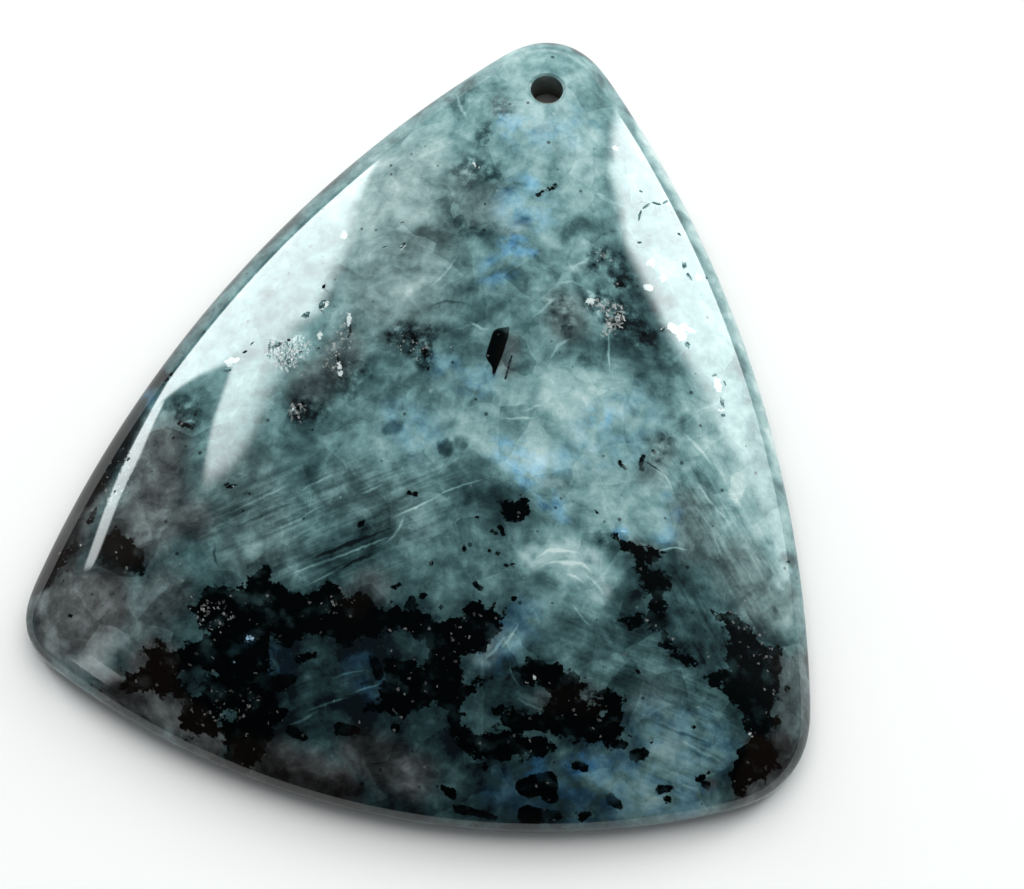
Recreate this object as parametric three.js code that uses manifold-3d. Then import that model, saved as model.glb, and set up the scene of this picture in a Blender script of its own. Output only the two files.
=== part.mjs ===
// A larvikite pendant: one polished stone, cut as a domed triangle with rounded corners.
// It lies on its flat back with the dome up, and has a hole for a cord drilled through one corner.
// Millimetres, +Z up. The origin is in the middle of the back, and +Y points to the drilled corner.

import * as THREE from "three";
import { mergeVertices } from "three/addons/utils/BufferGeometryUtils.js";
import Module from "manifold-3d";

// The outline: three corner arcs, and three long side arcs that touch them
const CORNERS = [
  { name: "drilled", x: 0.2, y: 21.0, radius: 4.0 },
  { name: "left", x: -20.6, y: -17.1, radius: 3.2 },
  { name: "right", x: 18.3, y: -15.1, radius: 5.5 },
];
const SIDE_RADII = [73, 48, 74]; // from each corner to the next, anticlockwise
const LEVEL_POINTS = 120;

// The section: a flat back, a small bevel, a low upright girdle and a full dome
const THICKNESS = 7.4;
const GIRDLE_HEIGHT = 1.5;
const BACK_BEVEL = 0.4;
const DOME_FULLNESS = 1.8;
const SHOULDER_ROUNDNESS = 0.65;
const CROWN_INSET = 19.5; // from the sides to the crown
const CORNER_CLOSING = 4; // how fast the outline's own corners close up towards the crown
const CORNER_OPENING = 1.5; // how late the levels turn into circles
const DOME_RINGS = 22;

// The drilled hole, with its two mouths eased by a ball burr
const HOLE_RADIUS = 1.0;
const MOUTH_RADIUS = 1.25;
const BURR_RADIUS = 1.6;
const DRILL_OVERRUN = 2;
const DRILL_SIDES = 32;
const BURR_BANDS = 16;

const WELD_DISTANCE = 1e-4;

const STONE_COLOUR = 0x4d6064;
const STONE_ROUGHNESS = 0.12;

// The point at these two distances from a and b, on the left of the way from a to b
function meeting(a, b, distanceA, distanceB) {
  const way = new THREE.Vector2(b.x - a.x, b.y - a.y);
  const length = way.length();
  const along = (distanceA ** 2 - distanceB ** 2 + length ** 2) / (2 * length);
  const aside = Math.sqrt(distanceA ** 2 - along ** 2);
  way.divideScalar(length);
  return new THREE.Vector2(
    a.x + way.x * along - way.y * aside,
    a.y + way.y * along + way.x * aside,
  );
}

const next = (i) => (i + 1) % CORNERS.length;
const before = (i) => (i + CORNERS.length - 1) % CORNERS.length;

// The centre of each side's arc, which touches the corners at both of its ends
const sideCentres = CORNERS.map((corner, i) =>
  meeting(
    corner,
    CORNERS[next(i)],
    SIDE_RADII[i] - corner.radius,
    SIDE_RADII[i] - CORNERS[next(i)].radius,
  ),
);

// The outline drawn in by an inset, with corners of these radii: six arcs that run anticlockwise
function levelPath(inset, cornerRadii) {
  const corners = CORNERS.map((_, i) =>
    meeting(
      sideCentres[before(i)],
      sideCentres[i],
      SIDE_RADII[before(i)] - inset - cornerRadii[i],
      SIDE_RADII[i] - inset - cornerRadii[i],
    ),
  );
  const path = new THREE.Path();
  corners.forEach((corner, i) => {
    const enter = corner.clone().sub(sideCentres[before(i)]).angle();
    const leave = corner.clone().sub(sideCentres[i]).angle();
    const arrive = corners[next(i)].clone().sub(sideCentres[i]).angle();
    path.absarc(corner.x, corner.y, cornerRadii[i], enter, leave, false);
    path.absarc(sideCentres[i].x, sideCentres[i].y, SIDE_RADII[i] - inset, leave, arrive, false);
  });
  return path;
}

// Evenly spaced points along a level
function levelPoints(inset, cornerRadii) {
  return levelPath(inset, cornerRadii).getSpacedPoints(LEVEL_POINTS).slice(0, -1);
}

const outlineRadii = CORNERS.map((corner) => corner.radius);
const outline = levelPoints(0, outlineRadii);
const middle = new THREE.Box2().setFromPoints(outline).getCenter(new THREE.Vector2());

// A level as points of the stone, about the middle of the outline's box
function ring(points, height) {
  return points.map((point) => new THREE.Vector3(point.x - middle.x, point.y - middle.y, height));
}

// The dome's height above the back, where share runs from 0 at its crown to 1 at its edge
function domeHeight(share) {
  const rise = (1 - share ** DOME_FULLNESS) ** SHOULDER_ROUNDNESS;
  return GIRDLE_HEIGHT + (THICKNESS - GIRDLE_HEIGHT) * rise;
}

// The radius of a level's corner, which follows the outline at the edge and a circle at the crown
function cornerRadius(atOutline, share) {
  const atCrown = CROWN_INSET * share;
  return atOutline * share ** CORNER_CLOSING + atCrown * (1 - share) ** CORNER_OPENING;
}

// One level of the dome: the outline drawn in evenly
function domeRing(share) {
  const radii = outlineRadii.map((radius) => cornerRadius(radius, share));
  return ring(levelPoints(CROWN_INSET * (1 - share), radii), domeHeight(share));
}

// The middle of the box around some points
function middleOf(points) {
  return new THREE.Box3().setFromPoints(points).getCenter(new THREE.Vector3());
}

// A closed skin over rings from the lowest to the highest, with a point in the middle of each end
function skin(rings) {
  const count = rings[0].length;
  const top = rings[rings.length - 1];
  const points = rings.flat();
  const index = [];
  for (let ring = 0; ring + 1 < rings.length; ring += 1) {
    for (let i = 0; i < count; i += 1) {
      const here = ring * count + i;
      const beside = ring * count + ((i + 1) % count);
      index.push(here, beside, here + count);
      index.push(beside, beside + count, here + count);
    }
  }
  const backMiddle = points.push(new THREE.Vector3(0, 0, rings[0][0].z)) - 1;
  const crown = middleOf(top).setZ(THICKNESS);
  const domeTop = points.push(crown) - 1;
  const topStart = (rings.length - 1) * count;
  top.forEach((_, i) => {
    const beside = (i + 1) % count;
    index.push(backMiddle, beside, i);
    index.push(domeTop, topStart + i, topStart + beside);
  });
  return new THREE.BufferGeometry().setFromPoints(points).setIndex(index);
}

// The stone before it is drilled
function blankGeometry() {
  const bevelRadii = outlineRadii.map((radius) => radius - BACK_BEVEL);
  const rings = [
    ring(levelPoints(BACK_BEVEL, bevelRadii), 0),
    ring(outline, BACK_BEVEL),
    ring(outline, GIRDLE_HEIGHT),
  ];
  for (let step = 1; step < DOME_RINGS; step += 1) {
    const share = Math.cos((Math.PI / 2) * (step / DOME_RINGS));
    rings.push(domeRing(share));
  }
  return skin(rings);
}

const wasm = await Module();
wasm.setup();

// A solid that can be cut, from a closed geometry
function solidOf(geometry) {
  const bare = geometry.clone();
  bare.deleteAttribute("normal");
  bare.deleteAttribute("uv");
  const merged = mergeVertices(bare, WELD_DISTANCE);
  return new wasm.Manifold(
    new wasm.Mesh({
      numProp: 3,
      vertProperties: new Float32Array(merged.attributes.position.array),
      triVerts: new Uint32Array(merged.index.array),
    }),
  );
}

// A geometry with a solid's vertices and triangles
function geometryOf(solid) {
  const mesh = solid.getMesh();
  return new THREE.BufferGeometry()
    .setAttribute("position", new THREE.BufferAttribute(mesh.vertProperties, 3))
    .setIndex(new THREE.BufferAttribute(mesh.triVerts, 1));
}

// Where the dome's surface lies above a point of the plan, with the face it is in
function domeSurface(geometry, x, y) {
  const ray = new THREE.Raycaster(
    new THREE.Vector3(x, y, THICKNESS + DRILL_OVERRUN),
    new THREE.Vector3(0, 0, -1),
  );
  return ray.intersectObject(new THREE.Mesh(geometry, new THREE.MeshBasicMaterial()))[0];
}

// The drill, upright, as long as the stone is thick with some overrun at both ends
function drillGeometry(x, y) {
  return new THREE.CylinderGeometry(
    HOLE_RADIUS,
    HOLE_RADIUS,
    THICKNESS + 2 * DRILL_OVERRUN,
    DRILL_SIDES,
  )
    .rotateX(Math.PI / 2)
    .translate(x, y, THICKNESS / 2);
}

// The ball burr, sunk into the surface at a mouth until it opens it to the mouth's radius
function burrGeometry(mouth, outward) {
  const stand = Math.sqrt(BURR_RADIUS ** 2 - MOUTH_RADIUS ** 2);
  const centre = mouth.clone().addScaledVector(outward, stand);
  return new THREE.SphereGeometry(BURR_RADIUS, DRILL_SIDES, BURR_BANDS)
    .rotateX(Math.PI / 2)
    .translate(centre.x, centre.y, centre.z);
}

// The stone with its hole drilled and both mouths eased
function pendantGeometry() {
  const blank = blankGeometry();
  const x = CORNERS[0].x - middle.x;
  const y = CORNERS[0].y - middle.y;
  const front = domeSurface(blank, x, y);
  const backMouth = new THREE.Vector3(x, y, 0);
  const backOutward = new THREE.Vector3(0, 0, -1);
  const drilled = solidOf(blank)
    .subtract(solidOf(drillGeometry(x, y)))
    .subtract(solidOf(burrGeometry(front.point, front.face.normal)))
    .subtract(solidOf(burrGeometry(backMouth, backOutward)));
  return geometryOf(drilled);
}

const stone = new THREE.Mesh(
  pendantGeometry(),
  new THREE.MeshStandardMaterial({
    color: STONE_COLOUR,
    roughness: STONE_ROUGHNESS,
    metalness: 0,
  }),
);
stone.name = "larvikite_stone";

const pendant = new THREE.Group();
pendant.add(stone);

export default pendant;
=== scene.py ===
"""A polished larvikite pendant on a pale floor: one domed, three-cornered stone with a drilled hole.

It lies on its flat back, dome up, with the drilled corner towards +Y.
"""

import math
import random

import bmesh
import bpy
import numpy as np
from mathutils import Matrix, Vector, noise as space_noise
from mathutils.bvhtree import BVHTree

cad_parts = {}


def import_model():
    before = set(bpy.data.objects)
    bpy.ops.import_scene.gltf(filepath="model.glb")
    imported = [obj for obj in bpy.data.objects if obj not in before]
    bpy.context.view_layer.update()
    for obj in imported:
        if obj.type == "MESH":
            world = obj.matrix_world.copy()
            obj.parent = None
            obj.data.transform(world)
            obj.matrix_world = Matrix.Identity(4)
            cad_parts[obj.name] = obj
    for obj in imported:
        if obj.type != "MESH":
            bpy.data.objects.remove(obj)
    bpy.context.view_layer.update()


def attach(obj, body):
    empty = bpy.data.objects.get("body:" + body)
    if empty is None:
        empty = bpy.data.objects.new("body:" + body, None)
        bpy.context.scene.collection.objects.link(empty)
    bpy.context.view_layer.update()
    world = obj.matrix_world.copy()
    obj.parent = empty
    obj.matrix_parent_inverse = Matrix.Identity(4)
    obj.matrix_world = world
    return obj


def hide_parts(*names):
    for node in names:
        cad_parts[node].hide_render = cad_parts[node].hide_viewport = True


MM = 0.001

# The outline: three corner arcs and three long side arcs that touch them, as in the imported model
CORNERS = ((0.2, 21.0), (-20.6, -17.1), (18.3, -15.1))
CORNER_RADII = (4.0, 3.2, 5.5)
SIDE_RADII = (73.0, 48.0, 74.0)  # from each corner to the next, anticlockwise
LEVEL_POINTS = 108
GRID_SPAN = LEVEL_POINTS // 4  # of the grids that close the crown and the back

# The section
THICKNESS = 7.4
GIRDLE_HEIGHT = 1.5
BACK_BEVEL = 0.4
BACK_LAND = 0.5  # a narrow border that keeps the back flat up to its bevel
DOME_FULLNESS = 1.8
SHOULDER_ROUNDNESS = 0.65
CROWN_INSET = 19.5
CORNER_CLOSING = 4.0
CORNER_OPENING = 1.5
DOME_LEVELS = 34
SMOOTHING_LEVELS = 2

# The hand polish: slow waves in the dome, left out near the girdle
WAVE_DEPTH = 0.05
WAVE_SIZE = 9.0
WAVE_OCTAVES = 1
WAVES_START = 2.6  # height above the back
WAVES_FULL = 4.0

# The drilled hole and its eased mouths
HOLE_RADIUS = 1.0
MOUTH_RADIUS = 1.25
BURR_RADIUS = 1.6
DRILL_OVERRUN = 2.0
DRILL_SIDES = 64
BURR_RINGS = 48

SMOOTH_ANGLE = math.radians(28)
SAME_HEIGHT = 1e-6
WELD_DISTANCE = 1e-6

DOWN = Vector((0, 0, -1))
HIGH_ABOVE = 1.0  # where rays start that look for the dome, in metres


def meeting(a, b, distance_a, distance_b):
    """The point at these distances from a and b, on the left of the way from a to b."""
    way = b - a
    along = (distance_a**2 - distance_b**2 + way.length_squared) / (2 * way.length)
    aside = math.sqrt(distance_a**2 - along**2)
    way.normalize()
    return a + way * along + Vector((-way.y, way.x)) * aside


def after(i):
    return (i + 1) % len(CORNERS)


def before(i):
    return (i - 1) % len(CORNERS)


def side_centre(i):
    """The centre of the arc from one corner to the next."""
    reach = SIDE_RADII[i]
    return meeting(
        Vector(CORNERS[i]),
        Vector(CORNERS[after(i)]),
        reach - CORNER_RADII[i],
        reach - CORNER_RADII[after(i)],
    )


SIDE_CENTRES = [side_centre(i) for i in range(len(CORNERS))]


def turn_between(centre, start, end):
    """The anticlockwise angle from start to end, seen from a centre."""
    first = math.atan2(start.y - centre.y, start.x - centre.x)
    last = math.atan2(end.y - centre.y, end.x - centre.x)
    return (last - first) % math.tau


def touching(corner, corner_radius, centre):
    """Where a corner's arc meets the side arc round this centre."""
    return corner + (corner - centre).normalized() * corner_radius


def level_arcs(inset, radii):
    """The outline drawn in by an inset, as six arcs: the centre, the start and the angle of each."""
    corners = [
        meeting(
            SIDE_CENTRES[before(i)],
            SIDE_CENTRES[i],
            SIDE_RADII[before(i)] - inset - radii[i],
            SIDE_RADII[i] - inset - radii[i],
        )
        for i in range(len(CORNERS))
    ]
    arcs = []
    for i, corner in enumerate(corners):
        enter = touching(corner, radii[i], SIDE_CENTRES[before(i)])
        leave = touching(corner, radii[i], SIDE_CENTRES[i])
        arrive = touching(corners[after(i)], radii[after(i)], SIDE_CENTRES[i])
        arcs.append((corner, enter, turn_between(corner, enter, leave)))
        arcs.append((SIDE_CENTRES[i], leave, turn_between(SIDE_CENTRES[i], leave, arrive)))
    return arcs


MIDDLE = Vector((-0.013, -0.031))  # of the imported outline's box, where the stone's origin is
HOLE_PLACE = Vector(CORNERS[0]) - MIDDLE


def dome_height(share):
    """The dome's height above the back, where share runs from 0 at its crown to 1 at its edge."""
    rise = (1 - share**DOME_FULLNESS) ** SHOULDER_ROUNDNESS
    return GIRDLE_HEIGHT + (THICKNESS - GIRDLE_HEIGHT) * rise


def dome_radii(share):
    """The corner radii of a level, which follow the outline at the edge and a circle at the crown."""
    at_crown = CROWN_INSET * share * (1 - share) ** CORNER_OPENING
    return [radius * share**CORNER_CLOSING + at_crown for radius in CORNER_RADII]


def levels():
    """Every level of the stone from the back up: its inset, corner radii and height."""
    bevel_radii = [radius - BACK_BEVEL for radius in CORNER_RADII]
    found = [
        (BACK_BEVEL, bevel_radii, 0.0),
        (0.0, CORNER_RADII, BACK_BEVEL),
        (0.0, CORNER_RADII, GIRDLE_HEIGHT),
    ]
    for step in range(1, DOME_LEVELS):
        share = math.cos(math.pi / 2 * step / DOME_LEVELS)
        found.append((CROWN_INSET * (1 - share), dome_radii(share), dome_height(share)))
    return found


def shared_steps(lengths, total):
    """The steps for each arc, by its length, at least one each and together the total."""
    whole = sum(lengths)
    steps = [max(1, round(total * length / whole)) for length in lengths]
    steps[steps.index(max(steps))] += total - sum(steps)
    return steps


def deselect_everything():
    bpy.ops.object.select_all(action="DESELECT")


def only(thing):
    """Makes one object the selected and active one."""
    deselect_everything()
    thing.select_set(True)
    bpy.context.view_layer.objects.active = thing


def draw_level(inset, radii, height):
    """Draws one level as a closed wire, by spinning a point along each of its arcs."""
    arcs = level_arcs(inset, radii)
    lengths = [(start - centre).length * angle for centre, start, angle in arcs]
    steps = shared_steps(lengths, LEVEL_POINTS)
    first = arcs[0][1] - MIDDLE
    bpy.ops.mesh.select_all(action="DESELECT")
    bpy.ops.mesh.primitive_plane_add(size=MM, location=(first.x * MM, first.y * MM, height * MM))
    bpy.ops.mesh.merge(type="CENTER")
    for (centre, _, angle), count in zip(arcs, steps):
        hub = centre - MIDDLE
        bpy.ops.mesh.spin(
            steps=count,
            angle=angle,
            center=(hub.x * MM, hub.y * MM, height * MM),
            axis=(0, 0, -1),
            use_auto_merge=False,
        )


def select_edges(blank, wanted):
    """Selects the edges that pass a test, in edge mode."""
    bpy.ops.mesh.select_mode(type="EDGE")
    bpy.ops.mesh.select_all(action="DESELECT")
    mesh = bmesh.from_edit_mesh(blank.data)
    for edge in mesh.edges:
        if wanted(edge):
            edge.select_set(True)
    bmesh.update_edit_mesh(blank.data)


def lies_at(edge, *heights):
    """Whether an edge lies flat at one of these heights."""
    ends = [vertex.co.z for vertex in edge.verts]
    return any(all(abs(end - height * MM) < SAME_HEIGHT for end in ends) for height in heights)


def close_back(blank):
    """Closes the back with a face, borders it, and fills the inside with an even grid."""
    select_edges(blank, lambda edge: lies_at(edge, 0.0))
    bpy.ops.mesh.edge_face_add()
    bpy.ops.mesh.select_mode(type="FACE")
    bpy.ops.mesh.inset(thickness=BACK_LAND * MM)
    bpy.ops.mesh.delete(type="ONLY_FACE")
    select_edges(blank, lambda edge: edge.is_boundary and lies_at(edge, 0.0))
    bpy.ops.mesh.fill_grid(span=GRID_SPAN)


def make_blank():
    """The stone before it is drilled: levels drawn one over the other, bridged and closed."""
    bpy.ops.mesh.primitive_plane_add(size=MM, location=(0, 0, 0))
    blank = bpy.context.object
    blank.name = "polished_stone"
    bpy.ops.object.mode_set(mode="EDIT")
    bpy.ops.mesh.select_mode(type="VERT")
    bpy.ops.mesh.select_all(action="SELECT")
    bpy.ops.mesh.delete(type="VERT")
    stack = levels()
    for inset, radii, height in stack:
        draw_level(inset, radii, height)
    bpy.ops.mesh.select_all(action="SELECT")
    bpy.ops.mesh.remove_doubles(threshold=WELD_DISTANCE)
    heights = [height for _, _, height in stack]
    for lower, upper in zip(heights, heights[1:]):
        select_edges(blank, lambda edge: lies_at(edge, lower, upper))
        bpy.ops.mesh.bridge_edge_loops()
    select_edges(blank, lambda edge: lies_at(edge, heights[-1]))
    bpy.ops.mesh.fill_grid(span=GRID_SPAN)
    close_back(blank)
    bpy.ops.mesh.select_all(action="SELECT")
    bpy.ops.mesh.normals_make_consistent(inside=False)
    bpy.ops.object.mode_set(mode="OBJECT")
    return blank


def add_modifier(thing, kind, name, **settings):
    """Adds one modifier with these settings and applies it."""
    only(thing)
    modifier = thing.modifiers.new(name, kind)
    for key, value in settings.items():
        setattr(modifier, key, value)
    bpy.ops.object.modifier_apply(modifier=name)


def add_cutter(thing, cutter, name):
    """Cuts one closed solid out of another and throws the cutter away."""
    add_modifier(thing, "BOOLEAN", name, operation="DIFFERENCE", solver="EXACT", object=cutter)
    bpy.data.objects.remove(cutter)


def surface_under(thing, x, y):
    """Where the dome lies above a point of the plan, and its normal there, in mm."""
    _, place, normal, _ = thing.ray_cast(Vector((x * MM, y * MM, HIGH_ABOVE)), DOWN)
    return place / MM, normal


def burr(mouth, outward):
    """A ball burr sunk into a mouth until it opens it to the mouth's radius."""
    stand = math.sqrt(BURR_RADIUS**2 - MOUTH_RADIUS**2)
    deselect_everything()
    bpy.ops.mesh.primitive_uv_sphere_add(
        segments=DRILL_SIDES,
        ring_count=BURR_RINGS,
        radius=BURR_RADIUS * MM,
        location=(mouth + outward * stand) * MM,
    )
    return bpy.context.object


def drill_hole(thing):
    """Drills the upright hole and eases both of its mouths."""
    front, outward = surface_under(thing, *HOLE_PLACE)
    deselect_everything()
    bpy.ops.mesh.primitive_cylinder_add(
        vertices=DRILL_SIDES,
        radius=HOLE_RADIUS * MM,
        depth=(THICKNESS + 2 * DRILL_OVERRUN) * MM,
        location=(HOLE_PLACE.x * MM, HOLE_PLACE.y * MM, THICKNESS / 2 * MM),
    )
    add_cutter(thing, bpy.context.object, "drill")
    add_cutter(thing, burr(front, outward), "front_burr")
    back = Vector((HOLE_PLACE.x, HOLE_PLACE.y, 0.0))
    add_cutter(thing, burr(back, DOWN), "back_burr")


def wave_dome(thing):
    """Gives the dome the slow waves of a hand polish. They only sink, so the stone keeps its box."""
    group = thing.vertex_groups.new(name="dome")
    for vertex in thing.data.vertices:
        share = (vertex.co.z / MM - WAVES_START) / (WAVES_FULL - WAVES_START)
        group.add([vertex.index], min(max(share, 0.0), 1.0), "REPLACE")
    waves = bpy.data.textures.new("polish_waves", "CLOUDS")
    waves.noise_scale = WAVE_SIZE * MM
    waves.noise_depth = WAVE_OCTAVES
    add_modifier(
        thing,
        "DISPLACE",
        "waves",
        texture=waves,
        texture_coords="LOCAL",
        strength=WAVE_DEPTH * MM,
        mid_level=1.0,
        vertex_group="dome",
    )
    thing.vertex_groups.clear()


def pit_cutter(thing, x, y, length, width, angle):
    """A lumpy pebble, half sunk into the dome."""
    place, outward = surface_under(thing, x, y)
    deselect_everything()
    bpy.ops.mesh.primitive_ico_sphere_add(
        subdivisions=PIT_SUBDIVISIONS, radius=1, location=place * MM
    )
    cutter = bpy.context.object
    way = math.radians(angle)
    across = outward.cross(Vector((math.cos(way), math.sin(way), 0))).normalized()
    along = across.cross(outward)
    cutter.rotation_euler = Matrix((along, across, outward)).transposed().to_euler()
    cutter.scale = (length / 2 * MM, width / 2 * MM, width * PIT_DEPTH * MM)
    for vertex in cutter.data.vertices:
        vertex.co *= 1 + random.uniform(-PIT_ROUGHNESS, PIT_ROUGHNESS)
    return cutter


def break_pits(thing):
    """Breaks the small pits out of the dome, all in one cut."""
    random.seed(PIT_SEED)
    cutters = [pit_cutter(thing, *pit) for pit in PITS]
    deselect_everything()
    for cutter in cutters:
        cutter.select_set(True)
    bpy.context.view_layer.objects.active = cutters[0]
    bpy.ops.object.join()
    add_cutter(thing, cutters[0], "pits")


def make_stone():
    """The finished stone: smoothed, waved like a hand polish, and drilled."""
    thing = make_blank()
    add_modifier(thing, "SUBSURF", "smooth", levels=SMOOTHING_LEVELS, render_levels=SMOOTHING_LEVELS)
    wave_dome(thing)
    dome = BVHTree.FromObject(thing, bpy.context.evaluated_depsgraph_get())
    drill_hole(thing)
    break_pits(thing)
    only(thing)
    bpy.ops.object.shade_smooth_by_angle(angle=SMOOTH_ANGLE)
    grow_minerals(thing, dome)
    return thing


# The stage
FLOOR_SIZE = 3.0
FLOOR_COLOUR = (0.60, 0.60, 0.59, 1)
FLOOR_ROUGHNESS = 0.9
FLOOR_SPECULAR = 0.2

# The camera, as the photograph was taken: how high it stands, how far round, and how far away
CAMERA_RISE = math.radians(74)
CAMERA_ROUND = math.radians(12)
CAMERA_DISTANCE = 300.0
CAMERA_LENS = 172.8
CAMERA_SENSOR = 36.0
AIM_RIGHT = 2.437
AIM_DOWN = 1.059
CAMERA_NEAR = 0.01  # metres
CAMERA_FAR = 20


def camera_axes():
    """The camera's right, up and back directions."""
    level = Vector((math.sin(CAMERA_ROUND), -math.cos(CAMERA_ROUND), 0))
    back = level * math.cos(CAMERA_RISE) + Vector((0, 0, math.sin(CAMERA_RISE)))
    right = Vector((0, 0, 1)).cross(back).normalized()
    return right, back.cross(right), back


def make_camera():
    right, up, back = camera_axes()
    target = right * AIM_RIGHT - up * AIM_DOWN
    lens = bpy.data.cameras.new("camera")
    lens.lens = CAMERA_LENS
    lens.sensor_width = CAMERA_SENSOR
    lens.clip_start = CAMERA_NEAR
    lens.clip_end = CAMERA_FAR
    camera = bpy.data.objects.new("camera", lens)
    bpy.context.scene.collection.objects.link(camera)
    camera.location = (target + back * CAMERA_DISTANCE) * MM
    camera.rotation_euler = back.to_track_quat("Z", "Y").to_euler()
    bpy.context.scene.camera = camera


def make_floor():
    deselect_everything()
    bpy.ops.mesh.primitive_plane_add(size=FLOOR_SIZE, location=(0, 0, 0))
    floor = bpy.context.object
    floor.name = "floor"
    paint = bpy.data.materials.new("pale_floor")
    paint.use_nodes = True
    surface = {
        "Base Color": FLOOR_COLOUR,
        "Roughness": FLOOR_ROUGHNESS,
        "Specular IOR Level": FLOOR_SPECULAR,
    }
    feed(paint.node_tree, paint.node_tree.nodes["Principled BSDF"], surface)
    floor.data.materials.append(paint)


# Small helpers for node trees. Most of them add a node and give back its output.
def feed(tree, node, inputs):
    """Gives a node its inputs. An input is a value, or the output that feeds it."""
    for key, value in inputs.items():
        if isinstance(value, bpy.types.NodeSocket):
            tree.links.new(value, node.inputs[key])
        else:
            node.inputs[key].default_value = value


def put(tree, kind, inputs=None, **settings):
    """Adds a node with these inputs and settings."""
    node = tree.nodes.new(kind)
    for key, value in settings.items():
        setattr(node, key, value)
    feed(tree, node, inputs or {})
    return node


def figure(tree, operation, *values):
    """Arithmetic with numbers."""
    return put(tree, "ShaderNodeMath", dict(enumerate(values)), operation=operation).outputs[0]


def turn(tree, operation, *values):
    """Arithmetic with vectors."""
    return put(tree, "ShaderNodeVectorMath", dict(enumerate(values)), operation=operation).outputs[0]


def dot(tree, first, second):
    inputs = {0: first, 1: second}
    return put(tree, "ShaderNodeVectorMath", inputs, operation="DOT_PRODUCT").outputs["Value"]


def ease(tree, value, low, high, start=0.0, end=1.0):
    """Goes smoothly from start to end while the value goes from low to high."""
    inputs = {"Value": value, "From Min": low, "From Max": high, "To Min": start, "To Max": end}
    return put(tree, "ShaderNodeMapRange", inputs, interpolation_type="SMOOTHSTEP").outputs[0]


def blend(tree, share, first, second):
    """Mixes two colours."""
    return put(tree, "ShaderNodeMix", {0: share, 6: first, 7: second}, data_type="RGBA").outputs[2]


def noise(tree, place, size, detail=4.0, roughness=0.55):
    """Noise whose patches are about this many mm across."""
    inputs = {"Vector": place, "Scale": 1 / size, "Detail": detail, "Roughness": roughness}
    return put(tree, "ShaderNodeTexNoise", inputs).outputs["Fac"]


def read(tree, name, output="Fac"):
    """Reads one of the numbers or vectors that the mesh keeps for each vertex."""
    return put(tree, "ShaderNodeAttribute", attribute_name=name).outputs[output]


def ramp(tree, value, tones):
    """A colour from a table of tones."""
    node = put(tree, "ShaderNodeValToRGB", {"Fac": value})
    stops = node.color_ramp.elements
    while len(stops) < len(tones):
        stops.new(0.5)
    for stop, (position, hex_colour) in zip(stops, tones.items()):
        stop.position = position
        stop.color = shown(hex_colour)
    return node.outputs["Color"]


NUMBER = "NodeSocketFloat"
VECTOR = "NodeSocketVector"


def new_group(name, inputs, output):
    """A node group with one number as its output. Gives its tree, the inputs as they arrive in it,
    and the node that takes its result."""
    tree = bpy.data.node_groups.new(name, "ShaderNodeTree")
    for label, kind in inputs.items():
        tree.interface.new_socket(name=label, in_out="INPUT", socket_type=kind)
    tree.interface.new_socket(name=output, in_out="OUTPUT", socket_type=NUMBER)
    return tree, tree.nodes.new("NodeGroupInput").outputs, tree.nodes.new("NodeGroupOutput")


# The lights. A window stands where the stone mirrors it towards the camera, given by its compass
# direction from +Y towards +X and its height above the horizon, both in degrees.
LIGHT_DISTANCE = 0.6
WINDOW_COLOUR = (0.93, 1.0, 1.0)
SOFT_LIGHT_SIZE = 1.6
SOFT_LIGHT_ENERGY = 24.0
SOFT_LIGHT_PLACE = Vector((0.0, 0.65, 1.0))
ROOM_COLOUR = (0.9, 0.95, 1.0, 1)
ROOM_STRENGTH = 0.35


def window_place(compass, rise, middle):
    """Where a direction seen from the stone crosses the window's plane, in metres from its foot."""
    aside = math.radians(compass - middle)
    height = math.tan(math.radians(rise)) / math.cos(aside)
    return Vector((LIGHT_DISTANCE * math.tan(aside), LIGHT_DISTANCE * height))


def placed_pane(pane, middle):
    """The same pane, with its corners and its fade as places of the window."""
    corners = [(window_place(*corner[:2], middle), corner[2]) for corner in pane["corners"]]
    fade = [window_place(*end, middle) for end in pane.get("fade", ())]
    return {**pane, "corners": corners, "fade": fade}


def pane_glow(tree, place, pane):
    """How bright one pane is at a place of its window: full between its corners, with soft edges,
    and fading from one place to another if it has a fade."""
    corners = pane["corners"]
    glow = pane["strength"]
    inside = sum((corner for corner, _ in corners), Vector((0, 0))) / len(corners)
    for (start, softness), (end, _) in zip(corners, corners[1:] + corners[:1]):
        inward = Vector((start.y - end.y, end.x - start.x)).normalized()
        if inward.dot(inside - start) < 0:
            inward.negate()
        depth = dot(tree, turn(tree, "SUBTRACT", place, (*start, 0)), (*inward, 0))
        glow = figure(tree, "MULTIPLY", glow, ease(tree, depth, 0.0, softness))
    if pane["fade"]:
        start, end = pane["fade"]
        way = end - start
        run = dot(tree, turn(tree, "SUBTRACT", place, (*start, 0)), (*way / way.length_squared, 0))
        glow = figure(tree, "MULTIPLY", glow, ease(tree, run, 0.0, 1.0, 1.0, pane["left_over"]))
    return glow


def shine_through(lamp, panes, right, bottom):
    """Lets a window's lamp shine through its panes only."""
    lamp.use_nodes = True
    tree = lamp.node_tree
    share = put(tree, "ShaderNodeNewGeometry").outputs["Parametric"]
    scaled = turn(tree, "MULTIPLY", share, (-lamp.size, lamp.size_y, 0))
    place = turn(tree, "ADD", scaled, (right, bottom, 0))
    glow = 0.0
    for pane in panes:
        glow = figure(tree, "MAXIMUM", glow, pane_glow(tree, place, pane))
    feed(tree, tree.nodes["Emission"], {"Strength": glow})


def hang_light(name, lamp, place, away):
    """Hangs a lamp at a place, with its back to a direction and out of the camera's sight."""
    light = bpy.data.objects.new(name, lamp)
    bpy.context.scene.collection.objects.link(light)
    light.location = place
    light.rotation_euler = away.to_track_quat("Z", "Y").to_euler()
    light.visible_camera = False
    return light


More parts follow.
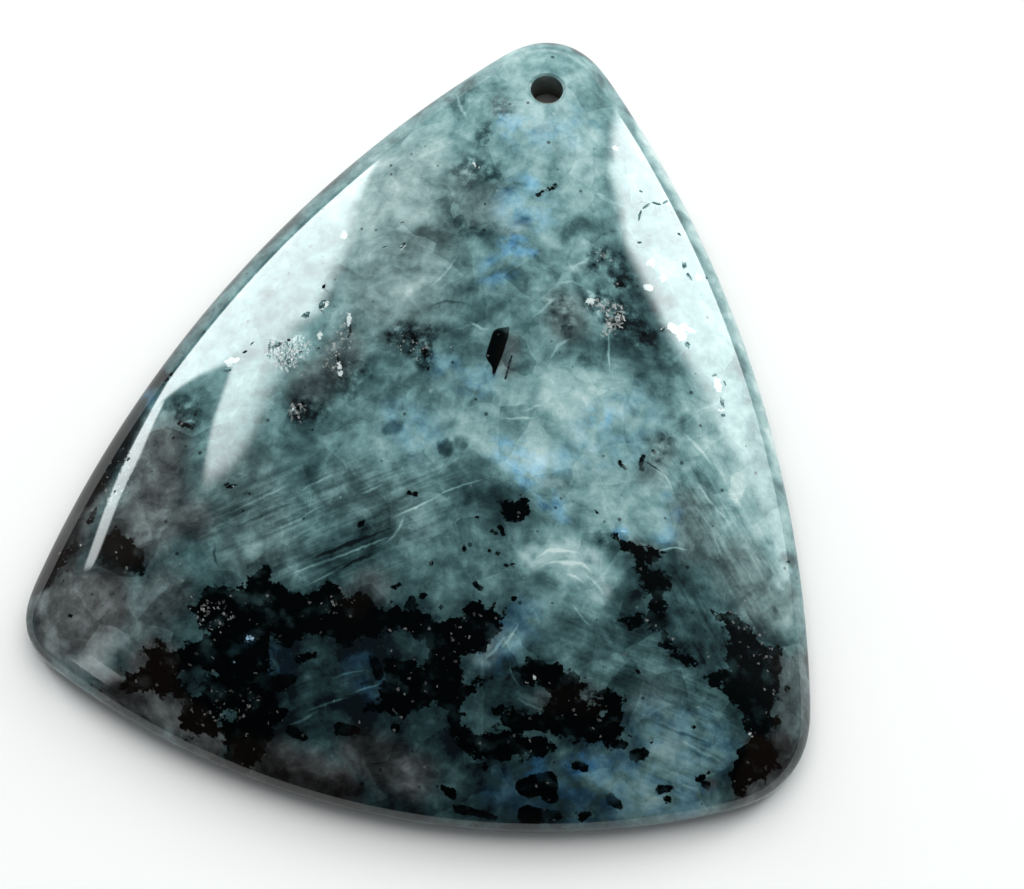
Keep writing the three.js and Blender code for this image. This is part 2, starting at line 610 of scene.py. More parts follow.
def make_window(name, radiance, panes):
    """A flat upright light. Each corner of a pane is a compass direction and a rise seen from the
    stone, in degrees, and the softness of the edge that starts there, in metres."""
    compasses = [corner[0] for pane in panes for corner in pane["corners"]]
    middle = (min(compasses) + max(compasses)) / 2
    placed = [placed_pane(pane, middle) for pane in panes]
    places = [place for pane in placed for place, _ in pane["corners"]]
    left, right = min(place.x for place in places), max(place.x for place in places)
    bottom, top = min(place.y for place in places), max(place.y for place in places)
    lamp = bpy.data.lights.new(name, "AREA")
    lamp.shape = "RECTANGLE"
    lamp.size = right - left
    lamp.size_y = top - bottom
    lamp.energy = radiance * lamp.size * lamp.size_y * math.pi
    lamp.color = WINDOW_COLOUR
    shine_through(lamp, placed, right, bottom)
    away = Vector((math.sin(math.radians(middle)), math.cos(math.radians(middle)), 0))
    sideways = Vector((away.y, -away.x, 0))
    height = Vector((0, 0, (bottom + top) / 2))
    hang_light(name, lamp, away * LIGHT_DISTANCE + sideways * (left + right) / 2 + height, away)


LEFT_PANES = [
    {
        "corners": [(-41.0, 4.0, 0.01), (-43.0, 30.0, 0.035), (-45.6, 42.2, 0.03),
                    (-54.0, 30.0, 0.01), (-58.8, 14.0, 0.01), (-60.4, 8.5, 0.01), (-58.0, 4.0, 0.01)],
        "strength": 1.0,
    },
    {
        "corners": [(-43.2, 28.0, 0.06), (-46.4, 43.0, 0.09), (-49.8, 47.8, 0.07), (-54.4, 49.4, 0.03),
                    (-58.0, 45.0, 0.015), (-57.2, 41.0, 0.01), (-52.9, 28.0, 0.02)],
        "strength": 0.9,
        "fade": [(-48.0, 34.0), (-55.0, 44.0)],
        "left_over": 0.8,
    },
    {
        "corners": [(-58.3, 5.0, 0.008), (-58.3, 14.0, 0.008), (-61.6, 22.0, 0.01),
                    (-70.0, 30.0, 0.03), (-70.0, 26.5, 0.008)],
        "strength": 0.95,
        "fade": [(-60.0, 12.0), (-68.0, 27.0)],
        "left_over": 0.7,
    },
]
RIGHT_PANES = [
    {
        "corners": [(29.8, 0.5, 0.014), (29.9, 24.0, 0.014), (30.5, 31.0, 0.03), (32.4, 39.0, 0.085),
                    (39.0, 39.8, 0.085), (44.5, 37.4, 0.085), (48.5, 34.8, 0.05), (61.0, 12.0, 0.03),
                    (61.0, 0.5, 0.01)],
        "strength": 1.0,
        "fade": [(37.0, 20.0), (55.0, 20.0)],
        "left_over": 0.33,
    },
]
CORNER_PANES = [
    {
        "corners": [(-147, 17, 0.02), (-147, 33, 0.02), (-141, 33, 0.02), (-141, 17, 0.02)],
        "strength": 1.0,
    },
]
WINDOWS = (  # each with its radiance
    ("left_window", 13.6, LEFT_PANES),
    ("right_window", 14.0, RIGHT_PANES),
    ("corner_glint", 3.0, CORNER_PANES),
)


def make_soft_light():
    """A broad light overhead, which the polish doesn't mirror."""
    lamp = bpy.data.lights.new("soft_light", "AREA")
    lamp.shape = "DISK"
    lamp.size = SOFT_LIGHT_SIZE
    lamp.energy = SOFT_LIGHT_ENERGY
    light = hang_light("soft_light", lamp, SOFT_LIGHT_PLACE, SOFT_LIGHT_PLACE)
    light.visible_glossy = False


def make_room():
    """The even light of the room, which the polish doesn't mirror."""
    room = bpy.data.worlds.new("room")
    room.use_nodes = True
    background = room.node_tree.nodes["Background"]
    feed(room.node_tree, background, {"Color": ROOM_COLOUR, "Strength": ROOM_STRENGTH})
    room.cycles_visibility.glossy = False
    bpy.context.scene.world = room


def make_lights():
    for window in WINDOWS:
        make_window(*window)
    make_soft_light()
    make_room()


# What is in the rock, seen from the front, in mm. An outline is a list of its corners. A chain is a
# list of blobs (x, y, radius) that run into each other.

# The black mineral: large ragged masses, and black along the left rim as painted shade
BLACK_MASSES = [
    # the long band across the lower half
    [(-8.5, -13.9), (-7.6, -13.8), (-7, -13.7), (-6.4, -13.2), (-5.9, -12.9), (-5.3, -13.1),
     (-5, -13.9), (-4.1, -13.3), (-3.5, -13.3), (-3, -13.8), (-2.2, -13.8), (-1.9, -13.3),
     (-1.2, -13.5), (-0.9, -13), (-0.4, -13.2), (0.3, -13.6), (0.9, -13.9), (1.4, -13.5), (2.4, -13.3),
     (2.6, -12.6), (3.2, -12.4), (4.4, -12.6), (5.2, -12.3), (4.6, -13.1), (4.6, -13.7), (4, -15.1),
     (2.9, -15.6), (2.8, -16.2), (3.4, -16.9), (4.3, -16.5), (4.3, -16.9), (3.7, -17.8), (3.4, -18.6),
     (3.7, -19.5), (4.6, -19.5), (6, -19.2), (7.2, -19.3), (8.3, -18.9), (9.1, -19.4), (9, -20),
     (7.5, -20.3), (6.4, -20.9), (5, -21), (3.7, -20.7), (2.8, -19.8), (2.6, -18.8), (1.6, -18.5),
     (0.8, -19.2), (-0.3, -19.7), (-2.3, -19.7), (-1.4, -19.1), (-1.9, -18.2), (-1.1, -17.8),
     (-1.8, -16.8), (-1.5, -16.3), (-0.4, -16.6), (0.7, -16.4), (1, -15.8), (0.1, -15), (-1.1, -14.6),
     (-2.3, -15.4), (-3.6, -16), (-3.8, -16.5), (-5.2, -16), (-6.5, -16.1), (-7.4, -17), (-8.5, -16.8)],
    # the broad mass at the lower left
    [(-8.3, -13.8), (-9.2, -13.4), (-9.5, -12.9), (-10.3, -13.2), (-10.9, -14.2), (-11.8, -14.4),
     (-12.7, -14.5), (-13.2, -15.2), (-13.6, -15.9), (-12.9, -16.7), (-12.4, -17.1), (-13.1, -17.8),
     (-13.5, -18.1), (-14.2, -18.5), (-15.1, -18.1), (-15.8, -18.8), (-15.3, -19.7), (-16.8, -20.1),
     (-16.9, -20.9), (-16.3, -21.3), (-15, -20.9), (-13, -20.9), (-12.7, -21.4), (-13.1, -22),
     (-12.4, -22.8), (-10.3, -22.7), (-9.9, -23.2), (-10.2, -23.9), (-8.8, -24.6), (-7.6, -23.2),
     (-7.3, -21.5), (-7.5, -19.6), (-8.4, -18.4), (-8.6, -17), (-8, -16.2), (-7.8, -14.5)],
    # the wedge right of the middle
    [(6.1, -15.6), (6.6, -15), (7.2, -14.9), (8, -15.2), (8.4, -14.8), (9, -15.1), (9.9, -15.1),
     (10.3, -15.5), (11, -15.7), (11.6, -15.5), (12.2, -15.6), (12.6, -16), (12.9, -16.8),
     (13.1, -17.6), (13, -18.1), (13.7, -18.5), (13.2, -18.7), (12.2, -18.8), (10.5, -18.9),
     (9.2, -18.9), (8.3, -18.9), (7.2, -19.2), (6.3, -19.1), (5.3, -18.7), (5, -18.2), (5.5, -17.9),
     (6.3, -17.9), (7.4, -18.1), (8, -17.9), (8.3, -17.2), (8.2, -16.6), (7.6, -16.4), (6.6, -16.1)],
    # the tall mass near the right corner
    [(16.9, -9.8), (17.8, -9.2), (18.4, -9.6), (19.4, -9.8), (19.6, -10.3), (20.6, -10.7),
     (21.2, -10.4), (21.1, -11.1), (21.4, -11.9), (21.3, -12.7), (21.6, -13.6), (21.3, -14.3),
     (21.9, -14.8), (21.9, -15.5), (21.3, -16), (22.2, -16.7), (22.3, -17.5), (21.7, -18.3),
     (21.2, -18.9), (20.4, -19.6), (19.7, -18.7), (19.6, -18.1), (20, -17.2), (20.2, -16.3),
     (20, -15.5), (19.4, -15), (18.9, -14.4), (18.1, -13.9), (17.4, -14.1), (16.8, -13.6),
     (17.8, -13.2), (18.2, -12.7), (17.9, -11.5), (17.6, -10.4)],
    # the slanting vein above the wedge
    [(10.1, -6.6), (10.7, -6.9), (11.4, -6.8), (12.1, -6.4), (12.4, -6.8), (13, -6.9), (12.9, -7.4),
     (12.3, -7.8), (12.6, -8.3), (13.2, -8.1), (13.9, -8.5), (13.9, -9), (13.4, -9.2), (14, -9.9),
     (13.9, -10.8), (14.3, -11.6), (14.8, -12.2), (15.4, -12.6), (16.1, -12.6), (16.6, -13),
     (16.3, -13.3), (15.6, -13.1), (14.9, -12.9), (14.2, -12.4), (13.6, -11.7), (12.9, -11.5),
     (12.2, -11.9), (11.3, -11.6), (12.1, -11.2), (12.9, -10.7), (12.9, -9.9), (12.3, -9.4), (12, -8.8),
     (11.7, -7.9), (11.3, -7.5), (10.7, -7.2)],
    # the spot in the middle, and the blob in the left corner
    [(3.1, -6.2), (3.6, -6.1), (4, -5.9), (4.3, -5.7), (4.6, -5.9), (4.9, -6.2), (4.8, -6.7), (4.6, -7),
     (4.1, -7.1), (3.8, -7.3), (3.4, -7.1), (3.1, -6.8)],
    [(-19.7, -12.2), (-19.2, -12), (-18.6, -12), (-18.3, -12.4), (-17.7, -12.5), (-17.3, -13.1),
     (-17.2, -13.6), (-16.8, -13.9), (-16.8, -14.3), (-17.3, -14.4), (-17.9, -14.1), (-18.6, -14),
     (-19.1, -14.2), (-19.3, -13.8), (-19.6, -13.3), (-19.8, -12.8)],
    # the dark left edge: black laid along the left rim as painted shade and dark reflection
    [(-19.9, -4.5), (-20, -5.6), (-20.3, -7.4), (-20.9, -9.2), (-21.7, -9.8), (-22.6, -9.4),
     (-22.2, -7.6), (-21.2, -5), (-20.6, -4)],
    [(-22, -13.4), (-21.6, -14.2), (-22.6, -15.4), (-23.6, -15.6), (-24, -14.2), (-23.4, -12.2),
     (-22.9, -12.6)],
    [(-18.3, -1.2), (-18.6, -1.9), (-19.2, -2), (-19.8, -1.6), (-19.3, -0.8)],
]

# Smaller black grains and spots
BLACK_GRAINS = [
    [(14, -18.9, 0.4), (14.4, -18.7, 0.35)], [(10.6, -20.2, 0.25), (11.2, -20.2, 0.25)],
    [(-6.3, -21.6, 0.3), (-5.4, -21.9, 0.2)], [(-3.4, -21, 0.4), (-2.4, -20.9, 0.2)],
    [(-6.6, -17.6, 0.3), (-5.8, -17.2, 0.2)], [(-7.6, -19.2, 0.5), (-6.8, -18.8, 0.3)],
    [(-7.4, -21, 0.5), (-6.8, -20.6, 0.2)], [(-2.2, -16.9, 0.3), (-1.8, -17.6, 0.3)],
    [(13, -21.5, 0.3), (13.6, -21.8, 0.2)], [(8.3, -21.9, 0.6), (9.2, -21.4, 0.6), (9.5, -22.1, 0.5)],
    [(8.3, -23.4, 0.5), (10.1, -23.1, 0.3)], [(11.6, -22.8, 0.3), (11.9, -22.6, 0.2)],
    [(15.7, -20.4, 0.25), (16.3, -20.2, 0.2)], [(16.3, -20.8, 0.22)],
    [(17.8, -19.4, 0.15), (18.1, -19.2, 0.2)], [(18.4, -19.5, 0.28)], [(18.4, -18.9, 0.1)],
    [(3, -8.1, 0.1), (3.2, -8.1, 0.08)], [(3.4, -7.7, 0.14), (3.7, -8.1, 0.1)], [(2, -7.5, 0.1)],
    [(-2.3, -6.8, 0.07), (-1.9, -6.8, 0.09)], [(1.15, 13.5, 0.07), (1.4, 13.75, 0.12)],
    [(1.7, 14.1, 0.16), (2, 14.2, 0.08)], [(2.1, 14.5, 0.08)], [(-4.3, 3, 0.1), (-4, 2.6, 0.1)],
    [(-3.4, 2.2, 0.2), (-3.1, 1.8, 0.12)], [(-2.9, 1.1, 0.15)], [(-4.9, 2.3, 0.08)], [(9.3, 6.4, 0.1)],
    [(7, 9.1, 0.2), (7.4, 9.2, 0.12)], [(9.5, -2.1, 0.12), (9.85, -2.3, 0.16)],
    [(10.75, -1.3, 0.12), (10.7, -1.8, 0.12), (10.9, -2.1, 0.08)], [(11.3, -0.85, 0.12)],
    [(8.8, -5.4, 0.12)], [(-10.1, -2.7, 0.2), (-9.8, -2.4, 0.15)],
    [(-17, -4.6, 0.15), (-16.4, -4.7, 0.18)], [(-13.2, -8.2, 0.12), (-12.9, -8.35, 0.12)],
    [(-21.9, -13.5, 0.25), (-21.5, -13.3, 0.25), (-21.6, -12.8, 0.12)],
    [(-21, -11.4, 0.25), (-20.8, -10.6, 0.12)], [(-22.9, -14.5, 0.4), (-23, -15.3, 0.3)],
    [(-21.7, -15.4, 0.12)], [(-20.7, -17.5, 0.14)], [(-4.7, -9.3, 0.06), (-4.6, -9, 0.04)],
    [(-2, -12.5, 0.12), (-1.7, -12.3, 0.12)], [(-0.3, -12.7, 0.15), (-0.1, -12.6, 0.1)],
    [(1, -13.1, 0.12)], [(-4.1, -13.5, 0.15), (-3.5, -13.8, 0.2)], [(-0.2, -20.3, 0.3)],
    [(3.2, -23, 0.15), (3.8, -23.2, 0.3)], [(4.2, -23.9, 0.25), (6.6, -23.9, 0.15)],
    [(1.6, -9.4, 0.12)], [(4.6, -9.8, 0.12)], [(4.2, -9.85, 0.08)], [(3.1, -9.3, 0.08)],
    [(3.6, -9.3, 0.06)], [(-0.1, -10.7, 0.1)], [(2.6, -11.3, 0.12), (3, -11.5, 0.14)],
    [(5.1, -11.7, 0.1)], [(7.9, -22, 0.5)], [(5.4, -21.4, 0.2)], [(13.1, -14.3, 0.15)],
    [(17, -16.6, 0.14)], [(14.7, -17.9, 0.1)], [(22, -10.9, 0.15)], [(22, -12.8, 0.22)],
]

# Paler rock that shows inside the black masses
CLEARINGS = [
    [(-13.6, -19.9), (-12.7, -19.3), (-11.9, -19.1), (-11.3, -19.3), (-12.2, -19.8), (-12.9, -20)],
    [(-12.7, -20.1), (-12.1, -20.2), (-12.3, -20.9), (-12.7, -20.8)],
    [(-10.8, -21.1), (-9.9, -21.1), (-9.7, -21.8), (-10.5, -21.9)],
    [(10.3, -16.2), (11.2, -16.4), (11.6, -16.9), (11, -16.9), (10.3, -16.6)],
]

# One crystal with straight sides, and the strip beside it
CRYSTALS = [
    [(0.45, 4.3), (0.9, 4.5), (1.35, 4.7), (1.42, 4.3), (1.35, 3), (1.2, 1.9), (1.12, 1.3),
     (0.95, 1.45), (0.9, 1.95), (0.33, 2.4), (0.38, 3.4)],
    [(1.8, 2.95), (1.92, 2.95), (1.88, 2.1), (1.86, 1.2), (1.72, 1.25), (1.76, 2.1)],
]

# Soft marks. Each one has a strength, the width over which it fades, and a chain.
# Lighter and darker rock
TONES = [
    (0.29, 3, [(0, 21.5, 2.5), (0.5, 18, 2.5)]), (0.11, 1.5, [(2.5, 16, 1.5), (3, 12, 1)]),
    (0.25, 2, [(-8, 16, 1.5), (-6.5, 13, 1.5), (-6.5, 9.5, 1.5)]),
    (0.14, 1.5, [(-7, 7, 1.5), (-4.5, 7.5, 1)]), (0.2, 0.6, [(-5, 6.6, 0.3), (-5.8, 5.6, 0.3)]),
    (-0.35, 0.8, [(-2.4, 19.2, 0.3), (-2.2, 18.6, 0.3)]),
    (-0.3, 0.6, [(-3, 17.3, 0.3), (-2.9, 16.5, 0.2)]),
    (-0.2, 1.1, [(-3.6, 14.6, 0.6), (-2.2, 14.3, 0.6)]),
    (-0.2, 1.2, [(-3.2, 13.2, 0.6), (-3, 11.8, 0.7), (-2.2, 10.8, 0.6)]),
    (-0.13, 1.2, [(-4.5, 9.7, 0.4), (-1.4, 9.9, 0.5)]),
    (-0.21, 1, [(-0.5, 8, 0.3), (0.6, 7.2, 0.5), (0.3, 6.4, 0.3)]),
    (-0.23, 1.5, [(-3.8, 5.7, 0.3), (-1.5, 5.8, 0.6), (-0.5, 5.6, 0.4)]),
    (-0.15, 1.2, [(-4, 4.5, 0.5), (-1.8, 3.8, 0.5)]),
    (-0.6, 0.6, [(-5, 2.7, 0.6), (-3.6, 2.5, 0.8), (-3, 1.5, 0.4)]),
    (-0.27, 1, [(-2.2, 3, 0.4), (-1, 2.3, 0.4)]), (-0.19, 1.4, [(4.2, 6.8, 0.6), (4.6, 5.6, 0.5)]),
    (-0.28, 1.4, [(6, 8.5, 0.6), (7.5, 8, 0.8), (9, 6.5, 0.8)]),
    (-0.29, 1.2, [(6.5, 10.8, 0.3), (8, 10, 0.6), (9.3, 8, 0.8)]),
    (-0.23, 1.4, [(8.5, 5.6, 0.6), (10.8, 5.6, 0.8)]), (-0.2, 1.6, [(6, 4.5, 0.5), (11, 3.8, 0.8)]),
    (-0.5, 0.4, [(6.3, 3.5, 0.25)]), (-0.34, 0.4, [(9.7, 3.5, 0.15)]),
    (-0.34, 1.2, [(-7.3, 0.6, 0.5), (-7.4, -0.4, 0.5)]),
    (-0.22, 1.4, [(-8.8, 2.6, 0.5), (-9, 0, 0.7), (-9.3, -1.8, 0.6)]),
    (-0.34, 1.2, [(-10, -2.8, 0.4), (-8.8, -3.6, 0.4)]),
    (-0.2, 1.5, [(-11.5, -5.5, 0.4), (-8, -4.5, 0.4)]),
    (-0.26, 1.2, [(-9.5, -6.7, 0.3), (-8.7, -7, 0.2)]), (-0.75, 0.3, [(-0.85, -3.5, 0.3)]),
    (-0.16, 0.6, [(-8.4, -1.6, 0.3)]), (-0.5, 0.3, [(-0.1, -3, 0.2), (0.3, -3.1, 0.15)]),
    (-0.55, 0.4, [(-4.35, -3.2, 0.2), (-3.9, -2.7, 0.2)]),
    (0.33, 2.2, [(5.5, 1.8, 0.8), (7, 1, 0.8), (9.5, 1.5, 0.8)]),
    # the lighter marks round (6, -2) and (3.4, -3.4) also brighten the painted sheen there
    (0.24, 1.6, [(6, -1.5, 0.8), (4.8, -2.6, 0.5)]), (0.14, 1.5, [(9, -4, 1), (11.5, -5, 0.6)]),
    (0.35, 1.6, [(3.4, -3.4, 0.8)]), (-0.43, 1.2, [(2, -4.7, 0.3), (1.4, -5.6, 0.5), (2.8, -5.6, 0.5)]),
    (-0.29, 1.2, [(0.6, -6.6, 0.4), (2.6, -7, 0.5), (0.4, -7.6, 0.3)]),
    (-0.17, 2.2, [(-4, -9.5, 0.4), (-2.5, -8.6, 0.3)]),
    (-0.29, 1, [(-7.5, -11.8, 0.25), (-5, -10.4, 0.3), (-3.2, -9.2, 0.3)]),
    (-0.19, 0.9, [(-5.5, -12, 0.2), (-3.4, -11.1, 0.2)]),
    (0.34, 1, [(5.9, -9.3, 0.4), (7.5, -8.6, 0.5), (9.3, -8.8, 0.5)]),
    (0.22, 1.2, [(8.2, -10, 0.6), (10, -9.8, 0.5)]),
    (-0.3, 0.6, [(6.6, -10.2, 0.2), (7.2, -10.4, 0.15)]),
    (-0.46, 1.6, [(11.5, -8.8, 0.6), (11.6, -10.2, 0.4)]),
    (-0.34, 1.6, [(14, -8, 0.6), (15, -9, 0.8), (15.2, -11, 0.8)]),
    (-0.36, 1.4, [(16.6, -11.2, 0.5), (16.8, -12.2, 0.5)]),
    (-0.24, 1.2, [(14.2, -6.6, 0.3), (17, -6.9, 0.3)]),
    (0.17, 1.2, [(5, -14.2, 0.4), (4.4, -15.5, 0.3)]),
    (-0.14, 2, [(9.5, -12.6, 0.6), (12, -13.5, 0.8)]),
    (-0.21, 1.4, [(17.5, -14.8, 0.5), (18.8, -15.4, 0.5), (19.2, -16.4, 0.4)]),
    (0.19, 1.2, [(15.6, -18.2, 0.5), (17, -18.3, 0.4)]),
    (0.09, 1.4, [(12.6, -19.8, 0.4), (16, -19.4, 0.5)]),
    (-0.34, 1.6, [(5.4, -16.9, 0.5), (7.2, -17.3, 0.5)]),
    (-0.35, 2.2, [(-1.6, -15.5, 0.5), (-0.6, -15.2, 0.4)]),
    (-0.56, 2.6, [(-6, -17.4, 0.8), (-3, -17.2, 0.8), (-3.2, -18.8, 0.6)]),
    (-0.51, 2.2, [(-6.5, -20, 0.6), (-3.5, -20.6, 0.6), (-1.5, -20.8, 0.4)]),
    (-0.4, 2.2, [(-6, -22.8, 0.8), (-2.5, -23.2, 0.8)]),
    (-0.42, 1.8, [(1, -20.2, 0.5), (2.4, -20.6, 0.5)]),
    (-0.27, 1.8, [(-0.5, -22.4, 0.6), (1, -22.6, 0.6)]),
    (-0.2, 1.6, [(2.6, -22.4, 0.4), (4.2, -22.4, 0.4)]),
    (-0.5, 1.8, [(6.2, -22.6, 0.8), (9, -23.2, 0.8)]),
    (-0.44, 1.6, [(10.8, -22.2, 0.6), (12.5, -22.4, 0.4)]),
    (-0.34, 1.2, [(-6, -24.4, 0.4), (0, -24.6, 0.4), (8, -24, 0.4)]),
    (-0.19, 2, [(-14.5, -16.5, 0.6), (-15.5, -12.5, 0.6)]),
    (-0.17, 1.6, [(-13, -11.6, 0.5), (-15, -9.4, 0.5)]),
    (-0.23, 2, [(-17, -6.5, 0.8), (-17.5, -9.5, 0.8)]),
    (-0.33, 1, [(-17.2, -2.8, 0.3), (-16, -3.6, 0.4), (-16.8, -4.4, 0.3)]),
    (-0.28, 1.2, [(-19.5, -13, 0.5), (-18.8, -15, 0.3)]),
    (-0.12, 2, [(-20, -8.5, 0.6), (-21, -12.5, 0.6)]),
    # these three darken the left rim: painted shade
    (-0.49, 0.8, [(-20.6, -6.2, 0.4), (-21.6, -9, 0.4)]),
    (-0.6, 0.6, [(-22.8, -13.6, 0.3), (-23.2, -15.6, 0.3)]),
    (-0.4, 0.5, [(-19.4, -1.6, 0.2), (-19.1, -2.1, 0.2)]),
    (-0.33, 1, [(-18.5, -20.8, 0.3), (-15, -22.4, 0.4)]),
    (-0.2, 1, [(-17, -19.4, 0.4), (-17.4, -20.6, 0.3)]),
    (-0.2, 1.4, [(13.8, -3.6, 0.5), (14.8, -4.6, 0.5)]),
    (-0.23, 0.8, [(15.2, -2.2, 0.2), (17, -3.6, 0.3)]),
    (-0.18, 1.4, [(15.5, -7.5, 0.5), (18.2, -7.8, 0.5)]),
    (0.18, 1.8, [(16, 0, 0.8), (19, -2.5, 0.8), (20, -7, 0.8)]),
    (-0.34, 0.5, [(11.7, 0.4, 0.2), (12.2, -0.2, 0.2), (12, -1.2, 0.2)]),
    (-0.3, 0.4, [(12.6, 1, 0.2), (13.2, 1.8, 0.2)]),
    (-0.6, 0.3, [(20.4, -5.1, 0.12), (20.8, -4.9, 0.2)]), (-0.4, 0.3, [(19.4, -4.2, 0.1)]),
    (-0.4, 0.3, [(20.4, -8.5, 0.12)]), (-0.3, 0.25, [(19.7, -6.2, 0.08)]),
    (-0.24, 0.6, [(13.8, -8.5, 0.3), (15.2, -8.6, 0.35)]), (0.14, 1.4, [(18, -3, 0.4), (17, -1, 0.4)]),
    (-0.3, 0.6, [(-4.6, 20.8, 0.12), (-5.3, 19.4, 0.25)]),
    (-0.34, 0.4, [(-0.5, 13.6, 0.3), (0, 13.8, 0.1)]), (-0.3, 0.35, [(1, 11.6, 0.25)]),
    (-0.24, 0.4, [(3.7, 11.4, 0.3)]), (-0.24, 0.5, [(4.2, 12.4, 0.2), (6.2, 12.6, 0.15)]),
    (-0.34, 0.5, [(-1.2, 10.2, 0.15), (-0.8, 9.6, 0.25)]),
    (-0.34, 0.5, [(4.7, 9.1, 0.2), (5.3, 10, 0.15)]), (-0.34, 0.5, [(3.2, 8.7, 0.2)]),
    (-0.24, 0.3, [(1.6, 23.1, 0.15)]), (-0.3, 0.5, [(3, 22.8, 0.2)]), (-0.24, 0.25, [(0.5, 16.8, 0.1)]),
    # broad, faint ones
    (0.23, 3, [(-8, 12.5, 1)]), (0.2, 2.5, [(-4.2, 15.5, 0.8)]), (0.17, 2.5, [(0.5, 12, 0.8)]),
    (0.14, 2, [(4, 16, 0.8)]), (0.19, 2.5, [(4.5, 8.5, 0.8)]),
    (0.2, 2.5, [(-8, 4.2, 0.8), (-4, 4.4, 0.8)]), (0.14, 3, [(-5, -3.5, 1), (0, -3.5, 1)]),
    (0.14, 2.5, [(4, 0.2, 0.8)]), (0.16, 2, [(8, 4, 0.8)]), (0.12, 3, [(10, -3, 1.5), (15, -3.5, 0.8)]),
    (-0.25, 3, [(-13, -8.5, 1), (-12, -12, 1)]), (-0.2, 3, [(-8, -8.5, 1)]),
    (-0.21, 3, [(-4, -12, 1), (0, -12, 1)]), (-0.11, 3, [(-3, -8, 1), (4, -8.3, 1)]),
    (-0.1, 3, [(4, -12.5, 1)]), (-0.13, 3, [(12, -12.5, 1)]), (-0.17, 3, [(4.5, -16, 1)]),
    (-0.18, 3, [(12, -20.2, 1)]), (-0.17, 3, [(0, -20.5, 1), (4, -20.5, 1), (8, -20.5, 1)]),
    (-0.23, 2, [(-20, -12, 1), (-20, -17, 1)]), (-0.29, 2, [(21.8, -11, 0.6), (22.4, -16, 0.6)]),
    (0.28, 2.5, [(10, 11, 0.5), (13, 6, 0.5), (15.8, 1, 0.8)]),
    (-0.34, 1.2, [(-6.8, 8.8, 0.5), (-4.6, 9.6, 0.5)]), (-0.24, 1.5, [(-1.4, 16.2, 0.5)]),
    (-0.16, 1.2, [(3.6, 11.2, 0.5)]), (-0.24, 1.2, [(-0.8, 2.2, 0.4), (0.6, 2.4, 0.4)]),
    (-0.14, 1.5, [(2, 4, 0.5)]), (-0.15, 1.2, [(6.2, 4.2, 0.5)]), (-0.15, 1.2, [(-5.5, 0.8, 0.5)]),
    (-0.21, 0.9, [(11, -2.4, 0.3)]), (0.2, 1.5, [(3, -5.5, 0.5), (3.2, -8.5, 0.5)]),
    (0.16, 1.4, [(12.5, -6, 0.4), (11, -7.5, 0.4)]), (0.15, 1.2, [(10.8, -11.4, 0.4)]),
    (0.18, 1.4, [(-11, -12.6, 0.6)]), (-0.22, 1.2, [(19.5, -14, 0.6)]),
    (-0.18, 0.9, [(22.8, -10.8, 0.5), (23.4, -15.2, 0.5)]),
    (-0.23, 1.5, [(-7.2, 6.5, 0.5), (-5, 8.8, 0.5)]), (-0.11, 2.5, [(2, 4, 0.8), (6, 6, 0.8)]),
    (-0.13, 1.6, [(-6, 0, 0.6), (-2, 0, 0.5)]), (-0.15, 1.2, [(-6, -4, 0.5)]),
    (0.15, 1.2, [(5.5, -4.5, 0.5)]), (0.1, 1.5, [(9.5, -7, 0.5), (13, -6.8, 0.5)]),
    (-0.21, 1.2, [(3, 20, 0.5)]), (-0.14, 1.6, [(-1.5, 15.5, 0.5), (2.4, 15.8, 0.5)]),
    (0.21, 1, [(5, 14, 0.4), (5, 16.5, 0.4)]),
    (0.19, 1.5, [(12, 2, 0.5), (14.2, -1.2, 0.5), (16.2, -4.8, 0.5)]),
    (-0.36, 1.4, [(-7.6, -17.6, 0.4), (-7, -21, 0.5)]), (-0.45, 1, [(-12.4, -19.6, 0.6)]),
    (-0.3, 0.8, [(-10.2, -21.5, 0.4)]), (0.18, 1.4, [(21.6, -8, 0.5), (22.4, -11, 0.4)]),
    (0.13, 1.4, [(-6.5, 11.5, 0.5)]), (-0.28, 1, [(23, -16.5, 0.4)]),
    (0.11, 1.4, [(2, 12.2, 0.4), (6, 12, 0.4)]), (-0.16, 2.4, [(14.2, -16.4, 0.8), (14.6, -12.4, 0.5)]),
    (-0.18, 1.4, [(17.4, -12, 0.6)]), (0.12, 1.4, [(-10.4, 0.5, 0.5), (-10.2, 2.8, 0.4)]),
    (0.16, 1.4, [(-19.2, -18.2, 0.5), (-20.9, -18.3, 0.4)]), (0.2, 1, [(-16.9, -5.6, 0.4)]),
    (0.1, 1.4, [(-17.6, -10.2, 0.5)]), (-0.1, 1.6, [(-15, -14, 0.5), (-16, -12, 0.4)]),
    (0.18, 1.4, [(1.6, -22.3, 0.7)]), (0.18, 1.2, [(22.5, -12, 0.5)]), (-0.12, 1, [(22, -16, 0.5)]),
    (0.12, 1, [(21, -19.7, 0.4)]), (0.14, 1.4, [(17, -3, 0.5)]), (-0.14, 1.4, [(14, -4, 0.5)]),
    (0.16, 1.4, [(-6, 10, 0.6)]), (-0.16, 1.4, [(-5, 8, 0.5)]), (-0.1, 1.6, [(-7.4, 5.7, 0.7)]),
    (0.12, 1.2, [(-10, 2, 0.5)]),
    # the rim: painted light along the right side, and painted shade and dark reflection along the
    # others
    (0.7, 0.8, [(6.6, 20.6, 0.3), (12, 13.8, 0.3), (16, 7.4, 0.3), (19.2, 0.6, 0.2)]),
    (-0.5, 0.5, [(-2.4, 25, 0.2), (0.6, 25.4, 0.2), (3.4, 24.2, 0.2)]),
    (-0.35, 0.8, [(-8.8, 18, 0.2), (-5, 22.6, 0.2), (-2.4, 24.9, 0.2), (0.2, 25.3, 0.2)]),
    (-0.35, 0.8, [(0.2, 25.3, 0.2), (2.8, 24.7, 0.2), (4.4, 23.4, 0.2)]),
